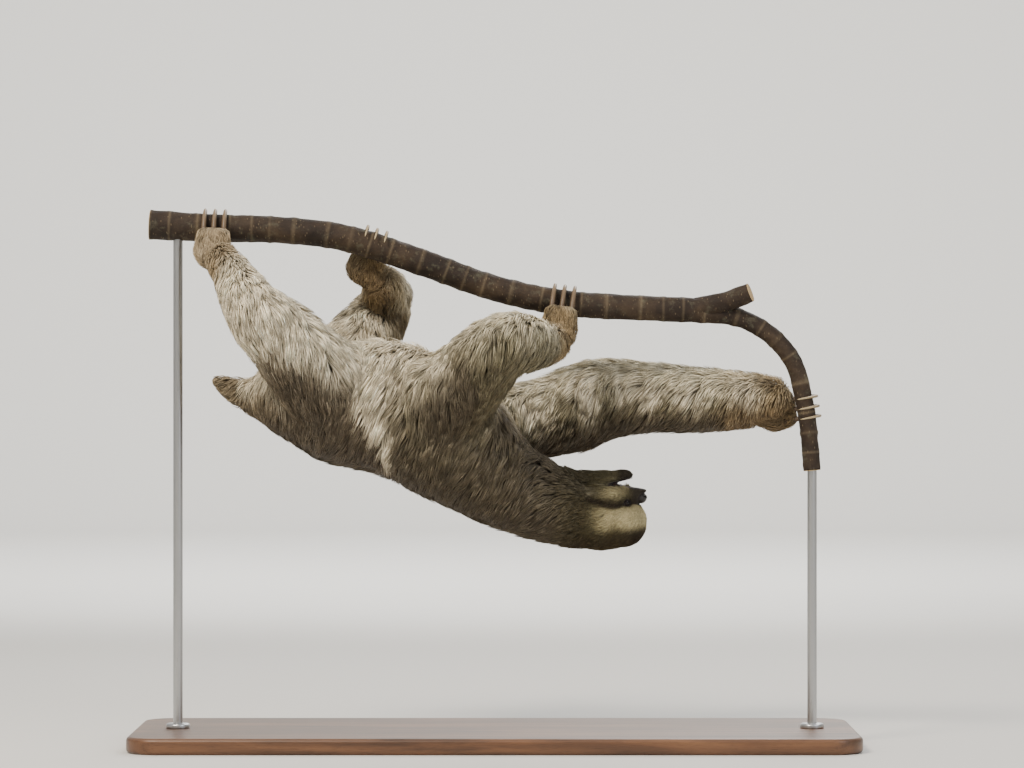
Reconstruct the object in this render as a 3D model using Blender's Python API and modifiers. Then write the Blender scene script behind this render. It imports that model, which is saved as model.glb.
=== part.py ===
"""A three-toed sloth hanging under a branch, as a life-size museum model on a plain stand.

Frame: metres, +Z up, +X from the animal's tail to its head, and the animal's left side towards -Y.
The origin is the middle of the underside of the base board.

The flesh is built whole, from tapered tubes and ellipsoids fused by a voxel remesh, out to the tips of
the coat.  Thin discs then part it at the joints, so that each part of the body is a solid of its own.
"""

import math

import bmesh
import bpy
import numpy as np
from mathutils import Matrix, Vector

# ---------------------------------------------------------------- driving dimensions, in metres

GAP = 0.0003  # clearance between neighbouring solids
CUT = 0.0005  # thickness of the cuts that part the body at its joints

BODY_VOXEL = 0.0035
HEAD_VOXEL = 0.0022
BODY_TRIANGLES = 2150
HEAD_TRIANGLES = 880
PART_SMOOTHING = 8  # passes over the fused flesh, to blend the joins

# The base board and its two rods.
BOARD_LENGTH = 0.900
BOARD_DEPTH = 0.300
BOARD_THICKNESS = 0.020
BOARD_CORNER = 0.040
BOARD_EDGE = 0.005
ROD_RADIUS = 0.006
ROD_X = 0.39625  # each rod stands this far from the middle of the board
ROD_SEAT = 0.012  # how deep a rod goes into the board and into the wood
COLLAR_RADIUS = 0.015
COLLAR_HEIGHT = 0.006

# The branch, from its cut left end to the fork, then down the side shoot: x, y, z, radius.
BRANCH = (
    (-0.431, 0.000, 0.6490, 0.0185),
    (-0.350, 0.000, 0.6450, 0.0170),
    (-0.269, 0.003, 0.6425, 0.0165),
    (-0.1875, 0.000, 0.6325, 0.0165),
    (-0.094, 0.004, 0.6030, 0.0165),
    (-0.006, 0.004, 0.5715, 0.0160),
    (0.085, 0.000, 0.5515, 0.0160),
    (0.181, -0.002, 0.5450, 0.0155),
    (0.256, 0.000, 0.5415, 0.0150),
    (0.304, 0.001, 0.5330, 0.0115),
    (0.344, 0.000, 0.5115, 0.0112),
    (0.3725, 0.000, 0.4775, 0.0110),
    (0.385, 0.000, 0.4360, 0.0110),
    (0.392, 0.000, 0.3925, 0.0108),
    (ROD_X, 0.000, 0.3425, 0.0108),
)
STUB = ((0.240, 0.0, 0.5425, 0.0130), (0.285, -0.010, 0.5520, 0.0125), (0.318, -0.018, 0.5640, 0.0120))
RING_SPACING = 0.048  # leaf scars ring the wood this far apart
RING_HEIGHT = 0.0006

# The back from the rump to the back of the skull: x, z, radius.  The trunk is wider than it is deep.
SPINE = (
    (-0.311, 0.431, 0.016),
    (-0.2875, 0.434, 0.039),
    (-0.244, 0.434, 0.0625),
    (-0.194, 0.4275, 0.079),
    (-0.1375, 0.424, 0.087),
    (-0.0875, 0.404, 0.087),
    (-0.041, 0.370, 0.079),
    (0.002, 0.334, 0.062),
    (0.050, 0.3085, 0.0535),
    (0.096, 0.2925, 0.0485),
)
TRUNK_WIDENING = 1.12
TAIL = ((-0.296, 0.0, 0.434, 0.027), (-0.327, 0.0, 0.444, 0.019), (-0.347, 0.0, 0.456, 0.010))

# Limbs from the root to the wrist or ankle: x, y, z, radius.  The left side is towards -Y.
LIMBS = {
    "left_arm": (
        (-0.0625, -0.055, 0.4275, 0.058),
        (-0.026, -0.112, 0.4640, 0.051),
        (0.010, -0.168, 0.4980, 0.042),
        (0.044, -0.108, 0.5000, 0.036),
        (0.070, -0.052, 0.5000, 0.026),
    ),
    "right_arm": (
        (-0.031, 0.055, 0.390, 0.055),
        (0.031, 0.090, 0.403, 0.050),
        (0.0875, 0.100, 0.414, 0.056),
        (0.131, 0.100, 0.430, 0.056),
        (0.194, 0.085, 0.434, 0.047),
        (0.256, 0.066, 0.431, 0.044),
        (0.321, 0.044, 0.430, 0.0375),
        (0.345, 0.036, 0.429, 0.0345),
    ),
    "left_leg": (
        (-0.214, -0.050, 0.455, 0.060),
        (-0.254, -0.088, 0.500, 0.052),
        (-0.291, -0.118, 0.538, 0.041),
        (-0.315, -0.084, 0.574, 0.031),
        (-0.336, -0.050, 0.603, 0.024),
    ),
    "right_leg": (
        (-0.210, 0.050, 0.449, 0.058),
        (-0.172, 0.092, 0.503, 0.049),
        (-0.140, 0.124, 0.550, 0.038),
        (-0.140, 0.087, 0.570, 0.032),
        (-0.142, 0.050, 0.578, 0.025),
    ),
}
KNEE_INDEX = {"left_arm": 2, "right_arm": 3, "left_leg": 2, "right_leg": 2}
# Where each limb leaves the trunk: a point of the cut, the way out along the limb, the cut's radius.
ROOT_CUTS = {
    "left_arm": ((-0.040, -0.090, 0.450), (0.475, -0.741, 0.475), 0.079),
    "right_arm": ((0.019, 0.083, 0.400), (0.857, 0.484, 0.180), 0.078),
    "left_leg": ((-0.239, -0.074, 0.483), (-0.562, -0.534, 0.632), 0.081),
    "right_leg": ((-0.183, 0.079, 0.484), (0.150, 0.720, 0.680), 0.092),
}
WRIST_SHARE = {("arm", "left"): 0.93, ("arm", "right"): 0.05, ("leg", "left"): 0.93, ("leg", "right"): 0.93}
SEGMENTS = {"arm": ("upper_arm", "forearm", "hand"), "leg": ("thigh", "shin", "foot")}

# Where each hand or foot holds the wood: distance along X or down Z, the side of the wood that the palm
# lies on, and the way the claws first run.
GRIPS = {
    "left_arm": {"at": (0.085, 0.0, 0.5515), "side": (0, -1, 0), "over": (0, 0, 1)},
    "right_arm": {"at": (0.3880, 0.0, 0.4215), "side": (0, 1, 0), "over": (1, 0, 0)},
    "left_leg": {"at": (-0.350, 0.0, 0.6450), "side": (0, -1, 0), "over": (0, 0, 1)},
    "right_leg": {"at": (-0.158, 0.0, 0.6250), "side": (0, 1, 0), "over": (0, 0, 1)},
}
CLAW_SPACING = 0.0125
CLAW_ROOT_RADIUS = 0.0043
CLAW_TIP_RADIUS = 0.0009
CLAW_CURVE = {"arm": 0.0310, "leg": 0.0285}  # radius of the arc that a claw follows
CLAW_END_ANGLE = {"arm": 172.0, "leg": 150.0}
CLAW_START_ANGLE = -24.0
CLAW_CLEARANCE = 0.0012  # between a claw's underside and the wood, over the scars
DIGIT_RADIUS = 0.0100
WRIST_DIGIT_RADIUS = 0.0135

# The head, in its own frame: x to the nose, y to the animal's left, z to the crown.
HEAD_PLACE = (0.1375, 0.0, 0.2915)
HEAD_YAW = math.radians(-9.0)  # turned a little to its left
CRANIUM = {"centre": (-0.006, 0, 0.005), "radii": (0.046, 0.044, 0.045)}
BROW = {"centre": (0.0235, 0, 0.014), "radii": (0.030, 0.037, 0.031)}
NAPE = {"centre": (-0.028, 0, 0.006), "radii": (0.034, 0.040, 0.042)}
MUZZLE = {"centre": (0.0305, 0, -0.0185), "radii": (0.0215, 0.0190, 0.0130)}
UPPER_LIP = {"centre": (0.0350, 0, -0.0250), "radii": (0.0172, 0.0172, 0.0085)}
CHEEK = {"centre": (0.004, 0.021, -0.021), "radii": (0.030, 0.022, 0.024)}
JAW = {"centre": (0.003, 0, -0.0385), "radii": (0.033, 0.022, 0.0125)}
CHIN = {"centre": (0.0215, 0, -0.0435), "radii": (0.0150, 0.0135, 0.0094)}
THROAT = {"centre": (-0.022, 0, -0.036), "radii": (0.028, 0.024, 0.0145)}
NOSE = {"centre": (0.0455, 0, -0.0165), "radii": (0.0070, 0.0105, 0.0070)}
SKULL = (CRANIUM, BROW, NAPE, MUZZLE, UPPER_LIP, JAW, CHIN, THROAT)
EYE = {"centre": (0.0278, 0.0190, -0.0110), "radius": 0.0056, "opening": 0.0068, "depth": 0.0056}
MOUTH_CORNER = (0.008, -0.0335)  # x and z of the back of the open mouth
MOUTH_REACH = 0.062
MOUTH_ABOVE = 0.0075  # the mouth's wedge opens this far above its corner at its reach, and this far below
MOUTH_BELOW = 0.0140
JAW_HINGE = (-0.026, -0.0352)
HEAD_SEAM_X = -0.034  # the head ends and the neck begins here, along the head's own x

COLOURS = {
    "coat": (0.36, 0.31, 0.24),
    "claw": (0.70, 0.62, 0.45),
    "nose": (0.03, 0.025, 0.02),
    "eye": (0.06, 0.03, 0.015),
    "bark": (0.16, 0.12, 0.08),
    "steel": (0.55, 0.55, 0.56),
    "walnut": (0.16, 0.08, 0.04),
}
ROUGHNESS = {"eye": 0.1, "nose": 0.4, "claw": 0.45, "steel": 0.3, "walnut": 0.4}


# ---------------------------------------------------------------- scene, materials and mesh helpers

def clear_scene():
    for obj in list(bpy.data.objects):
        bpy.data.objects.remove(obj, do_unlink=True)


def collection(name):
    made = bpy.data.collections.new(name)
    bpy.context.scene.collection.children.link(made)
    return made


def material(name):
    found = bpy.data.materials.get(name)
    if found:
        return found
    made = bpy.data.materials.new(name)
    made.use_nodes = True
    shader = made.node_tree.nodes["Principled BSDF"]
    shader.inputs["Base Color"].default_value = (*COLOURS[name], 1.0)
    shader.inputs["Roughness"].default_value = ROUGHNESS.get(name, 0.9)
    shader.inputs["Metallic"].default_value = 1.0 if name == "steel" else 0.0
    return made


def add_object(name, mesh, look=None, home=None):
    obj = bpy.data.objects.new(name, mesh)
    (home or bpy.context.scene.collection).objects.link(obj)
    if look:
        mesh.materials.clear()
        mesh.materials.append(material(look))
    return obj


def bake(obj):
    """Applies the object's modifiers and its place, and returns it with one plain mesh."""
    bpy.context.view_layer.update()
    graph = bpy.context.evaluated_depsgraph_get()
    mesh = bpy.data.meshes.new_from_object(obj.evaluated_get(graph))
    mesh.transform(obj.matrix_world)
    made = add_object(obj.name + "_baked", mesh)
    name = obj.name
    bpy.data.objects.remove(obj, do_unlink=True)
    made.name = name
    bm = bmesh.new()
    bm.from_mesh(mesh)
    bmesh.ops.remove_doubles(bm, verts=bm.verts, dist=1e-6)
    bm.to_mesh(mesh)
    bm.free()
    return made


def joined(name, pieces):
    """All the pieces' meshes in one object.  They may overlap."""
    bm = bmesh.new()
    for piece in pieces:
        bm.from_mesh(piece.data)
        bpy.data.objects.remove(piece, do_unlink=True)
    mesh = bpy.data.meshes.new(name)
    bm.to_mesh(mesh)
    bm.free()
    return add_object(name, mesh)


def boolean(obj, cutter, operation="DIFFERENCE"):
    modifier = obj.modifiers.new("cut", "BOOLEAN")
    modifier.operation = operation
    modifier.object = cutter
    name = obj.name
    done = bake(obj)
    done.name = name
    bpy.data.objects.remove(cutter, do_unlink=True)
    return done


def frame_of(direction):
    """Rotation that turns +Z to the direction."""
    return Vector(direction).to_track_quat("Z", "Y").to_matrix().to_4x4()


def smooth_path(points, steps):
    """Catmull-Rom curve through the points, which may hold a radius too, with `steps` spans to each gap."""
    p = np.array(points, float)
    p = np.vstack([2 * p[0] - p[1], p, 2 * p[-1] - p[-2]])
    rows = []
    for i in range(1, len(p) - 2):
        a, b, c, d = p[i - 1 : i + 3]
        square = 2 * a - 5 * b + 4 * c - d
        cube = 3 * b - a - 3 * c + d
        for t in np.arange(steps) / steps:
            rows.append(0.5 * (2 * b + (c - a) * t + square * t**2 + cube * t**3))
    rows.append(p[-2])
    return np.array(rows)


# ---------------------------------------------------------------- shapes

def tube(name, stations, resolution=3):
    """A tapered round tube through stations of x, y, z, radius, with flat caps."""
    curve = bpy.data.curves.new(name, "CURVE")
    curve.dimensions = "3D"
    curve.bevel_depth = 1.0
    curve.bevel_resolution = resolution
    curve.use_fill_caps = True
    spline = curve.splines.new("POLY")
    spline.points.add(len(stations) - 1)
    for point, (x, y, z, radius) in zip(spline.points, stations):
        point.co = (x, y, z, 1.0)
        point.radius = radius
    made = bake(add_object(name, curve))
    return made


def ellipsoid(name, centre, radii, segments=24, rings=14):
    mesh = bpy.data.meshes.new(name)
    bm = bmesh.new()
    bmesh.ops.create_uvsphere(bm, u_segments=segments, v_segments=rings, radius=1.0)
    bm.transform(Matrix.Translation(centre) @ Matrix.Diagonal((*radii, 1.0)))
    bm.to_mesh(mesh)
    bm.free()
    return add_object(name, mesh)


def cylinder(name, start, end, radius, sides=32):
    axis = Vector(end) - Vector(start)
    mesh = bpy.data.meshes.new(name)
    bm = bmesh.new()
    bmesh.ops.create_cone(
        bm, cap_ends=True, segments=sides, radius1=radius, radius2=radius, depth=axis.length
    )
    bm.transform(Matrix.Translation((Vector(start) + Vector(end)) / 2) @ frame_of(axis))
    bm.to_mesh(mesh)
    bm.free()
    return add_object(name, mesh)


def flesh_tube(name, stations, steps=6):
    """A limb: a tapered tube with a ball at each end, so that the ends are round."""
    path = smooth_path(stations, steps)
    balls = [
        ellipsoid(f"{name}_end", row[:3], (row[3],) * 3) for row in (path[0], path[-1])
    ]
    return [tube(name, path, resolution=6), *balls]


def fused(name, pieces, voxel, triangles):
    """The pieces' outer shell as one closed skin, smoothed at the joins and thinned to `triangles`."""
    flesh = joined(name, pieces)
    remesh = flesh.modifiers.new("fuse", "REMESH")
    remesh.mode = "VOXEL"
    remesh.voxel_size = voxel
    smooth = flesh.modifiers.new("blend", "SMOOTH")
    smooth.factor = 0.5
    smooth.iterations = PART_SMOOTHING
    flesh = bake(flesh)
    flesh.data.calc_loop_triangles()
    thin = flesh.modifiers.new("thin", "DECIMATE")
    thin.ratio = min(1.0, triangles / len(flesh.data.loop_triangles))
    return bake(flesh)


# ---------------------------------------------------------------- parting the body

def loose_parts(obj):
    """The separate bodies of a mesh, each as an object."""
    for other in bpy.context.selected_objects:
        other.select_set(False)
    before = set(bpy.data.objects)
    bpy.context.view_layer.objects.active = obj
    obj.select_set(True)
    bpy.ops.mesh.separate(type="LOOSE")
    return [obj, *(o for o in bpy.data.objects if o not in before)]


def middle(obj):
    bpy.context.view_layer.update()
    return sum((Vector(c) for c in obj.bound_box), Vector()) / 8


def part_at(flesh, centre, normal, radius):
    """Cuts the flesh through with a thin disc: (the side behind the disc, the side that the normal meets)."""
    centre, normal = Vector(centre), Vector(normal).normalized()
    half = normal * CUT / 2
    disc = cylinder("disc", centre - half, centre + half, radius, sides=48)
    parts = loose_parts(boolean(flesh, disc))
    if len(parts) != 2:
        raise ValueError(f"the cut at {tuple(centre)} left {len(parts)} bodies")
    parts.sort(key=lambda o: (middle(o) - centre).dot(normal))
    return parts


def station(limb, index, share=0.0):
    """The point this share of the way from one station of a limb to the next, and the way there."""
    a = Vector(LIMBS[limb][index][:3])
    b = Vector(LIMBS[limb][index + 1][:3])
    return a.lerp(b, share), (b - a).normalized()


def part_limb(body, limb):
    """Takes one limb off the body, and parts it at the elbow or knee and at the wrist or ankle."""
    side, kind = limb.split("_")
    names = [f"{side}_{segment}" for segment in SEGMENTS[kind]]
    body, leg = part_at(body, *ROOT_CUTS[limb])
    knee = KNEE_INDEX[limb]
    bend, onward = station(limb, knee)
    _, arriving = station(limb, knee - 1)
    crook = (onward - arriving).normalized() * LIMBS[limb][knee][3] * 0.35
    upper, lower = part_at(leg, bend + crook, arriving + onward, 0.125)
    last = len(LIMBS[limb]) - 2
    wrist, reach = station(limb, last, WRIST_SHARE[kind, side])
    lower, hand = part_at(lower, wrist, reach, LIMBS[limb][-1][3] * 1.8)
    return body, dict(zip(names, (upper, lower, hand)))


# ---------------------------------------------------------------- hands, feet and claws

def branch_way(place):
    """The way the wood runs at the point of its path that is nearest to the place."""
    path = smooth_path(BRANCH, 8)[:, :3]
    near = int(np.linalg.norm(path - np.array(place), axis=1).argmin())
    low, high = max(near - 1, 0), min(near + 1, len(path) - 1)
    return Vector(path[high] - path[low]).normalized(), Vector(path[near])


def wood_radius(place):
    path = smooth_path(BRANCH, 8)
    near = int(np.linalg.norm(path[:, :3] - np.array(place), axis=1).argmin())
    return float(path[near, 3])


def grip_frame(limb):
    """Centre of the grip on the wood, and unit vectors along the wood, to the palm's side and over it."""
    grip = GRIPS[limb]
    along, centre = branch_way(grip["at"])
    over = Vector(grip["over"])
    over = (over - over.dot(along) * along).normalized()
    side = along.cross(over)
    if side.dot(Vector(grip["side"])) < 0:
        side = -side
    return centre, along, side, over


def claw_path(limb, number, steps=9):
    """Stations of one claw: an arc over the wood, which it clears at its top, tapering to the tip."""
    kind = limb.split("_")[1]
    centre, along, side, over = grip_frame(limb)
    curve = CLAW_CURVE[kind]
    drop = wood_radius(centre) + CLAW_CLEARANCE + CLAW_ROOT_RADIUS * 0.8 - curve
    hub = centre + along * number * CLAW_SPACING + over * drop
    angles = np.radians(np.linspace(CLAW_START_ANGLE, CLAW_END_ANGLE[kind], steps))
    rows = []
    for share, angle in zip(np.linspace(0, 1, steps), angles):
        spot = hub + side * (curve * math.cos(angle)) + over * (curve * math.sin(angle))
        radius = CLAW_TIP_RADIUS + (CLAW_ROOT_RADIUS - CLAW_TIP_RADIUS) * (1 - share**1.8)
        rows.append((*spot, radius))
    return rows


def digits(limb):
    """The three fused fingers or toes, from the wrist or ankle to the roots of the claws."""
    kind = limb.split("_")[1]
    centre, along, side, over = grip_frame(limb)
    curve = CLAW_CURVE[kind]
    wrist = Vector(LIMBS[limb][-1][:3])
    drop = wood_radius(centre) + CLAW_CLEARANCE + CLAW_ROOT_RADIUS * 0.8 - curve
    made = []
    for number in (-1, 0, 1):
        end = centre + along * number * CLAW_SPACING + side * (curve + 0.003) + over * (drop - 0.002)
        below = end - over * 0.026 + side * 0.002
        start = wrist + along * number * 0.006
        made += flesh_tube(
            f"{limb}_digit",
            (
                (*start, WRIST_DIGIT_RADIUS * 1.25),
                (*below, WRIST_DIGIT_RADIUS),
                (*end, DIGIT_RADIUS),
            ),
            steps=4,
        )
    return made


def fit_claws(hand, limb, home):
    """Makes the limb's three claws, and bores their sockets in the hand or foot."""
    name = hand.name
    for number, label in zip((-1, 0, 1), ("inner", "middle", "outer")):
        stations = claw_path(limb, number)
        claw = tube(f"{name}_claw_{label}", stations, resolution=1)
        claw.data.materials.append(material("claw"))
        home.objects.link(claw)
        bpy.context.scene.collection.objects.unlink(claw)
        socket = [(x, y, z, radius + GAP) for x, y, z, radius in stations]
        first, second = Vector(socket[0][:3]), Vector(socket[1][:3])
        socket[0] = (*(first + (first - second).normalized() * GAP), socket[0][3])
        hand = boolean(hand, tube("socket", socket, resolution=1))
    return hand


# ---------------------------------------------------------------- the head

def head_matrix():
    """The head hangs crown down: it is turned half round about its own length, then a little to its left."""
    return (
        Matrix.Translation(HEAD_PLACE)
        @ Matrix.Rotation(HEAD_YAW, 4, "Z")
        @ Matrix.Rotation(math.pi, 4, "X")
    )


def placed(obj, matrix):
    obj.data.transform(matrix)
    return obj


def head_flesh():
    """The whole head with the end of the neck, in the row's frame."""
    shapes = [ellipsoid("skull", **{"centre": s["centre"], "radii": s["radii"]}) for s in SKULL]
    for sign in (-1, 1):
        x, y, z = CHEEK["centre"]
        shapes.append(ellipsoid("cheek", (x, sign * y, z), CHEEK["radii"]))
    shapes = [placed(shape, head_matrix()) for shape in shapes]
    neck = flesh_tube("nape", spine_stations()[-3:])
    return fused("head", [*shapes, *neck], HEAD_VOXEL, HEAD_TRIANGLES)


def mouth_cutter():
    """A wedge for the open mouth, and a thin slit behind it that frees the lower jaw from the head."""
    (cx, cz), (hx, hz) = MOUTH_CORNER, JAW_HINGE
    outline = (
        (MOUTH_REACH, cz + MOUTH_ABOVE),
        (cx, cz + CUT / 2),
        (hx, hz + CUT / 2),
        (hx - 0.008, hz - 0.030),
        (hx - 0.008 + CUT, hz - 0.030),
        (hx + CUT, hz - CUT / 2),
        (cx, cz - CUT / 2),
        (MOUTH_REACH, cz - MOUTH_BELOW),
    )
    mesh = bpy.data.meshes.new("mouth")
    bm = bmesh.new()
    face = bm.faces.new([bm.verts.new((x, -0.06, z)) for x, z in outline])
    side = bmesh.ops.extrude_face_region(bm, geom=[face])["geom"]
    bmesh.ops.translate(bm, vec=(0, 0.12, 0), verts=[v for v in side if isinstance(v, bmesh.types.BMVert)])
    bmesh.ops.recalc_face_normals(bm, faces=bm.faces)
    bm.to_mesh(mesh)
    bm.free()
    return placed(add_object("mouth", mesh), head_matrix())


def trim(obj, point, normal):
    """Cuts away what lies on the normal's side of the plane, and closes the cut."""
    bm = bmesh.new()
    bm.from_mesh(obj.data)
    everything = [*bm.verts, *bm.edges, *bm.faces]
    cut = bmesh.ops.bisect_plane(bm, geom=everything, plane_co=point, plane_no=normal, clear_outer=True)
    rim = [e for e in cut["geom_cut"] if isinstance(e, bmesh.types.BMEdge)]
    bmesh.ops.edgeloop_fill(bm, edges=rim)
    bmesh.ops.triangulate(bm, faces=bm.faces)
    bm.to_mesh(obj.data)
    bm.free()
    return obj


def seam():
    """Middle of the seam between head and neck, and the way from the neck to the head."""
    matrix = head_matrix()
    return matrix @ Vector((HEAD_SEAM_X, 0, 0)), (matrix.to_3x3() @ Vector((1, 0, 0))).normalized()


def make_head(home):
    centre, forward = seam()
    head = trim(head_flesh(), centre + forward * CUT / 2, -forward)
    jaw_and_head = loose_parts(boolean(head, mouth_cutter()))
    jaw_and_head.sort(key=lambda o: middle(o).z)
    head, jaw = jaw_and_head
    head.name, jaw.name = "head", "lower_jaw"

    nose = placed(ellipsoid("nose", NOSE["centre"], NOSE["radii"], 12, 8), head_matrix())
    bed = [r + GAP for r in NOSE["radii"]]
    head = boolean(head, placed(ellipsoid("nose_bed", NOSE["centre"], bed, 12, 8), head_matrix()))
    finish(nose, "nose", home)
    x, y, z = EYE["centre"]
    for label, sign in (("left", 1), ("right", -1)):
        spot = Vector((x, sign * y, z))
        ball = placed(ellipsoid(f"{label}_eye", spot, (EYE["radius"],) * 3, 12, 8), head_matrix())
        finish(ball, "eye", home)
        socket = ellipsoid("socket", spot, (EYE["radius"] + GAP,) * 3, 12, 8)
        head = boolean(head, placed(socket, head_matrix()))
        outward = Vector((0.70, 0.71 * sign, 0.0)) * EYE["depth"]
        opening = ellipsoid("opening", spot + outward, (EYE["opening"],) * 3, 14, 9)
        head = boolean(head, placed(opening, head_matrix()))
    finish(head, "coat", home)
    finish(jaw, "coat", home)


def finish(obj, look, home):
    """Puts a finished piece in the collection of the model, in its material, shaded smooth."""
    obj.data.materials.clear()
    obj.data.materials.append(material(look))
    for owner in list(obj.users_collection):
        owner.objects.unlink(obj)
    home.objects.link(obj)
    obj.data.shade_smooth()
    return obj


# ---------------------------------------------------------------- the body

def spine_stations():
    return [(x, 0.0, z, radius) for x, z, radius in SPINE]


def body_flesh():
    """Trunk, neck, tail and all four limbs with their digits, as one skin."""
    trunk = [
        placed(piece, Matrix.Diagonal((1, TRUNK_WIDENING, 1, 1)))
        for piece in flesh_tube("trunk", spine_stations())
    ]
    pieces = [*trunk, *flesh_tube("tail", TAIL)]
    for limb, stations in LIMBS.items():
        pieces += flesh_tube(limb, stations)
        pieces += digits(limb)
    return fused("trunk", pieces, BODY_VOXEL, BODY_TRIANGLES)


def make_body(home):
    centre, forward = seam()
    beyond = cylinder("beyond", centre - forward * CUT / 2, centre + forward * 0.09, 0.064, sides=48)
    body = boolean(body_flesh(), beyond)
    for limb in LIMBS:
        body, segments = part_limb(body, limb)
        for name, segment in segments.items():
            segment.name = name
            if name.endswith(("hand", "foot")):
                segment = fit_claws(segment, limb, home)
                segment.name = name
            finish(segment, "coat", home)
    neck_start = Vector((0.030, 0.0, 0.319))
    body, neck = part_at(body, neck_start, (0.88, 0.0, -0.47), 0.085)
    tail, body = part_at(body, (-0.312, 0.0, 0.4375), (0.95, 0.0, -0.31), 0.036)
    for piece, name in ((tail, "tail"), (neck, "neck"), (body, "trunk")):
        piece.name = name
        finish(piece, "coat", home)


# ---------------------------------------------------------------- the branch and the stand

def ringed(stations, steps):
    """The path with the wood swelling a little at each ring of leaf scars."""
    path = smooth_path(stations, steps)
    run = np.concatenate([[0], np.cumsum(np.linalg.norm(np.diff(path[:, :3], axis=0), axis=1))])
    path[:, 3] += RING_HEIGHT * np.cos(2 * math.pi * run / RING_SPACING).clip(0) ** 4
    return path


def make_branch(home):
    """The branch with its side shoot is one piece of wood, with the sawn stub of the main stem."""
    branch = tube("perch_branch", ringed(BRANCH, 3), resolution=2)
    branch = boolean(branch, tube("stub", smooth_path(STUB, 2), resolution=2), "UNION")
    seat = ROD_RADIUS + GAP
    left_foot = Vector((-ROD_X, 0, left_seat_z()))
    branch = boolean(branch, cylinder("bore", left_foot - Vector((0, 0, 0.05)), left_foot, seat, 24))
    end = Vector((ROD_X, 0, BRANCH[-1][2]))
    top = end + Vector((0, 0, ROD_SEAT + GAP))
    branch = boolean(branch, cylinder("bore", end - Vector((0, 0, 0.02)), top, seat, 24))
    finish(branch, "bark", home)


def left_seat_z():
    """Height of the blind end of the bore for the left rod, just above the underside of the wood."""
    path = smooth_path(BRANCH, 8)
    near = int(np.abs(path[:, 0] + ROD_X).argmin())
    return float(path[near, 2] - path[near, 3]) + ROD_SEAT + GAP


def make_board(home):
    """A flat board with round corners and a small bevel all round."""
    curve = bpy.data.curves.new("stand_board", "CURVE")
    curve.dimensions = "2D"
    curve.fill_mode = "BOTH"
    curve.extrude = BOARD_THICKNESS / 2 - BOARD_EDGE
    curve.bevel_depth = BOARD_EDGE
    curve.bevel_resolution = 0
    curve.offset = -BOARD_EDGE
    spline = curve.splines.new("POLY")
    outline = []
    for turn, (sx, sy) in enumerate(((1, 1), (-1, 1), (-1, -1), (1, -1))):
        for step in range(5):
            angle = math.radians(90 * turn + 22.5 * step)
            outline.append(
                (
                    sx * (BOARD_LENGTH / 2 - BOARD_CORNER) + BOARD_CORNER * math.cos(angle),
                    sy * (BOARD_DEPTH / 2 - BOARD_CORNER) + BOARD_CORNER * math.sin(angle),
                )
            )
    spline.points.add(len(outline) - 1)
    for point, (x, y) in zip(spline.points, outline):
        point.co = (x, y, 0, 1)
    spline.use_cyclic_u = True
    board = add_object("stand_board", curve)
    board.location.z = BOARD_THICKNESS / 2
    board = bake(board)
    for sign in (-1, 1):
        floor_of_bore = BOARD_THICKNESS - ROD_SEAT - GAP
        low, high = Vector((sign * ROD_X, 0, floor_of_bore)), Vector((sign * ROD_X, 0, 0.05))
        board = boolean(board, cylinder("bore", low, high, ROD_RADIUS + GAP, 24))
    finish(board, "walnut", home)


def make_rods(home):
    tops = {"left": left_seat_z() - GAP, "right": BRANCH[-1][2] + ROD_SEAT}
    for label, sign in (("left", -1), ("right", 1)):
        low = Vector((sign * ROD_X, 0, BOARD_THICKNESS - ROD_SEAT))
        rod = cylinder(f"stand_rod_{label}", low, Vector((sign * ROD_X, 0, tops[label])), ROD_RADIUS, 24)
        finish(rod, "steel", home)
        foot = Vector((sign * ROD_X, 0, BOARD_THICKNESS + GAP))
        up = Vector((0, 0, COLLAR_HEIGHT))
        collar = cylinder(f"stand_collar_{label}", foot, foot + up, COLLAR_RADIUS, 24)
        collar = boolean(collar, cylinder("bore", foot - up, foot + up * 2, ROD_RADIUS + GAP, 24))
        finish(collar, "steel", home)


def main():
    clear_scene()
    home = collection("three_toed_sloth")
    make_head(home)
    make_body(home)
    make_branch(home)
    make_board(home)
    make_rods(home)


main()
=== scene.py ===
import math
import time

import bmesh
import bpy
import numpy as np
from mathutils import Matrix, Vector
from mathutils.bvhtree import BVHTree
from mathutils.kdtree import KDTree


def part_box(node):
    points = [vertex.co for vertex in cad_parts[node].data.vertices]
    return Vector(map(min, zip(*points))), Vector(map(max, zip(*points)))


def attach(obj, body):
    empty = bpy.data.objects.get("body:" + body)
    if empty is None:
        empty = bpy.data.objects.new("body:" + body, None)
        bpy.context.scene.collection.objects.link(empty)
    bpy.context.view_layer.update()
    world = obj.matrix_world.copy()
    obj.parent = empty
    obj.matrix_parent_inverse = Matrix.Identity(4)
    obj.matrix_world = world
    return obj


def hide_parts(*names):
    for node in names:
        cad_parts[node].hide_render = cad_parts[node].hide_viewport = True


# A three-toed sloth that hangs back-down from a branch, on a plain display stand.
# The animal's left side is towards -Y, its head towards +X.  Metres throughout.

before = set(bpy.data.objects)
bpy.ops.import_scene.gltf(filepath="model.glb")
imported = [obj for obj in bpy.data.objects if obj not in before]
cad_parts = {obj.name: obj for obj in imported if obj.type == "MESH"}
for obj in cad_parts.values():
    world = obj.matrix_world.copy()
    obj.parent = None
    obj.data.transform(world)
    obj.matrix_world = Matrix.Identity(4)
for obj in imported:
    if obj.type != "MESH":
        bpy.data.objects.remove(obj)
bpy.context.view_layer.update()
startTime = time.time()
rng = np.random.default_rng(41)


def report(words):
    # one line for each stage, with the time so far
    print(f"[{time.time() - startTime:6.1f} s] {words}")


def linear(hexColour):
    # sRGB hex to linear: the usual power curve with its straight foot
    s = np.array([int(hexColour[i : i + 2], 16) for i in (1, 3, 5)]) / 255
    return np.where(s <= 0.04045, s / 12.92, ((s + 0.055) / 1.055) ** 2.4)


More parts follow.
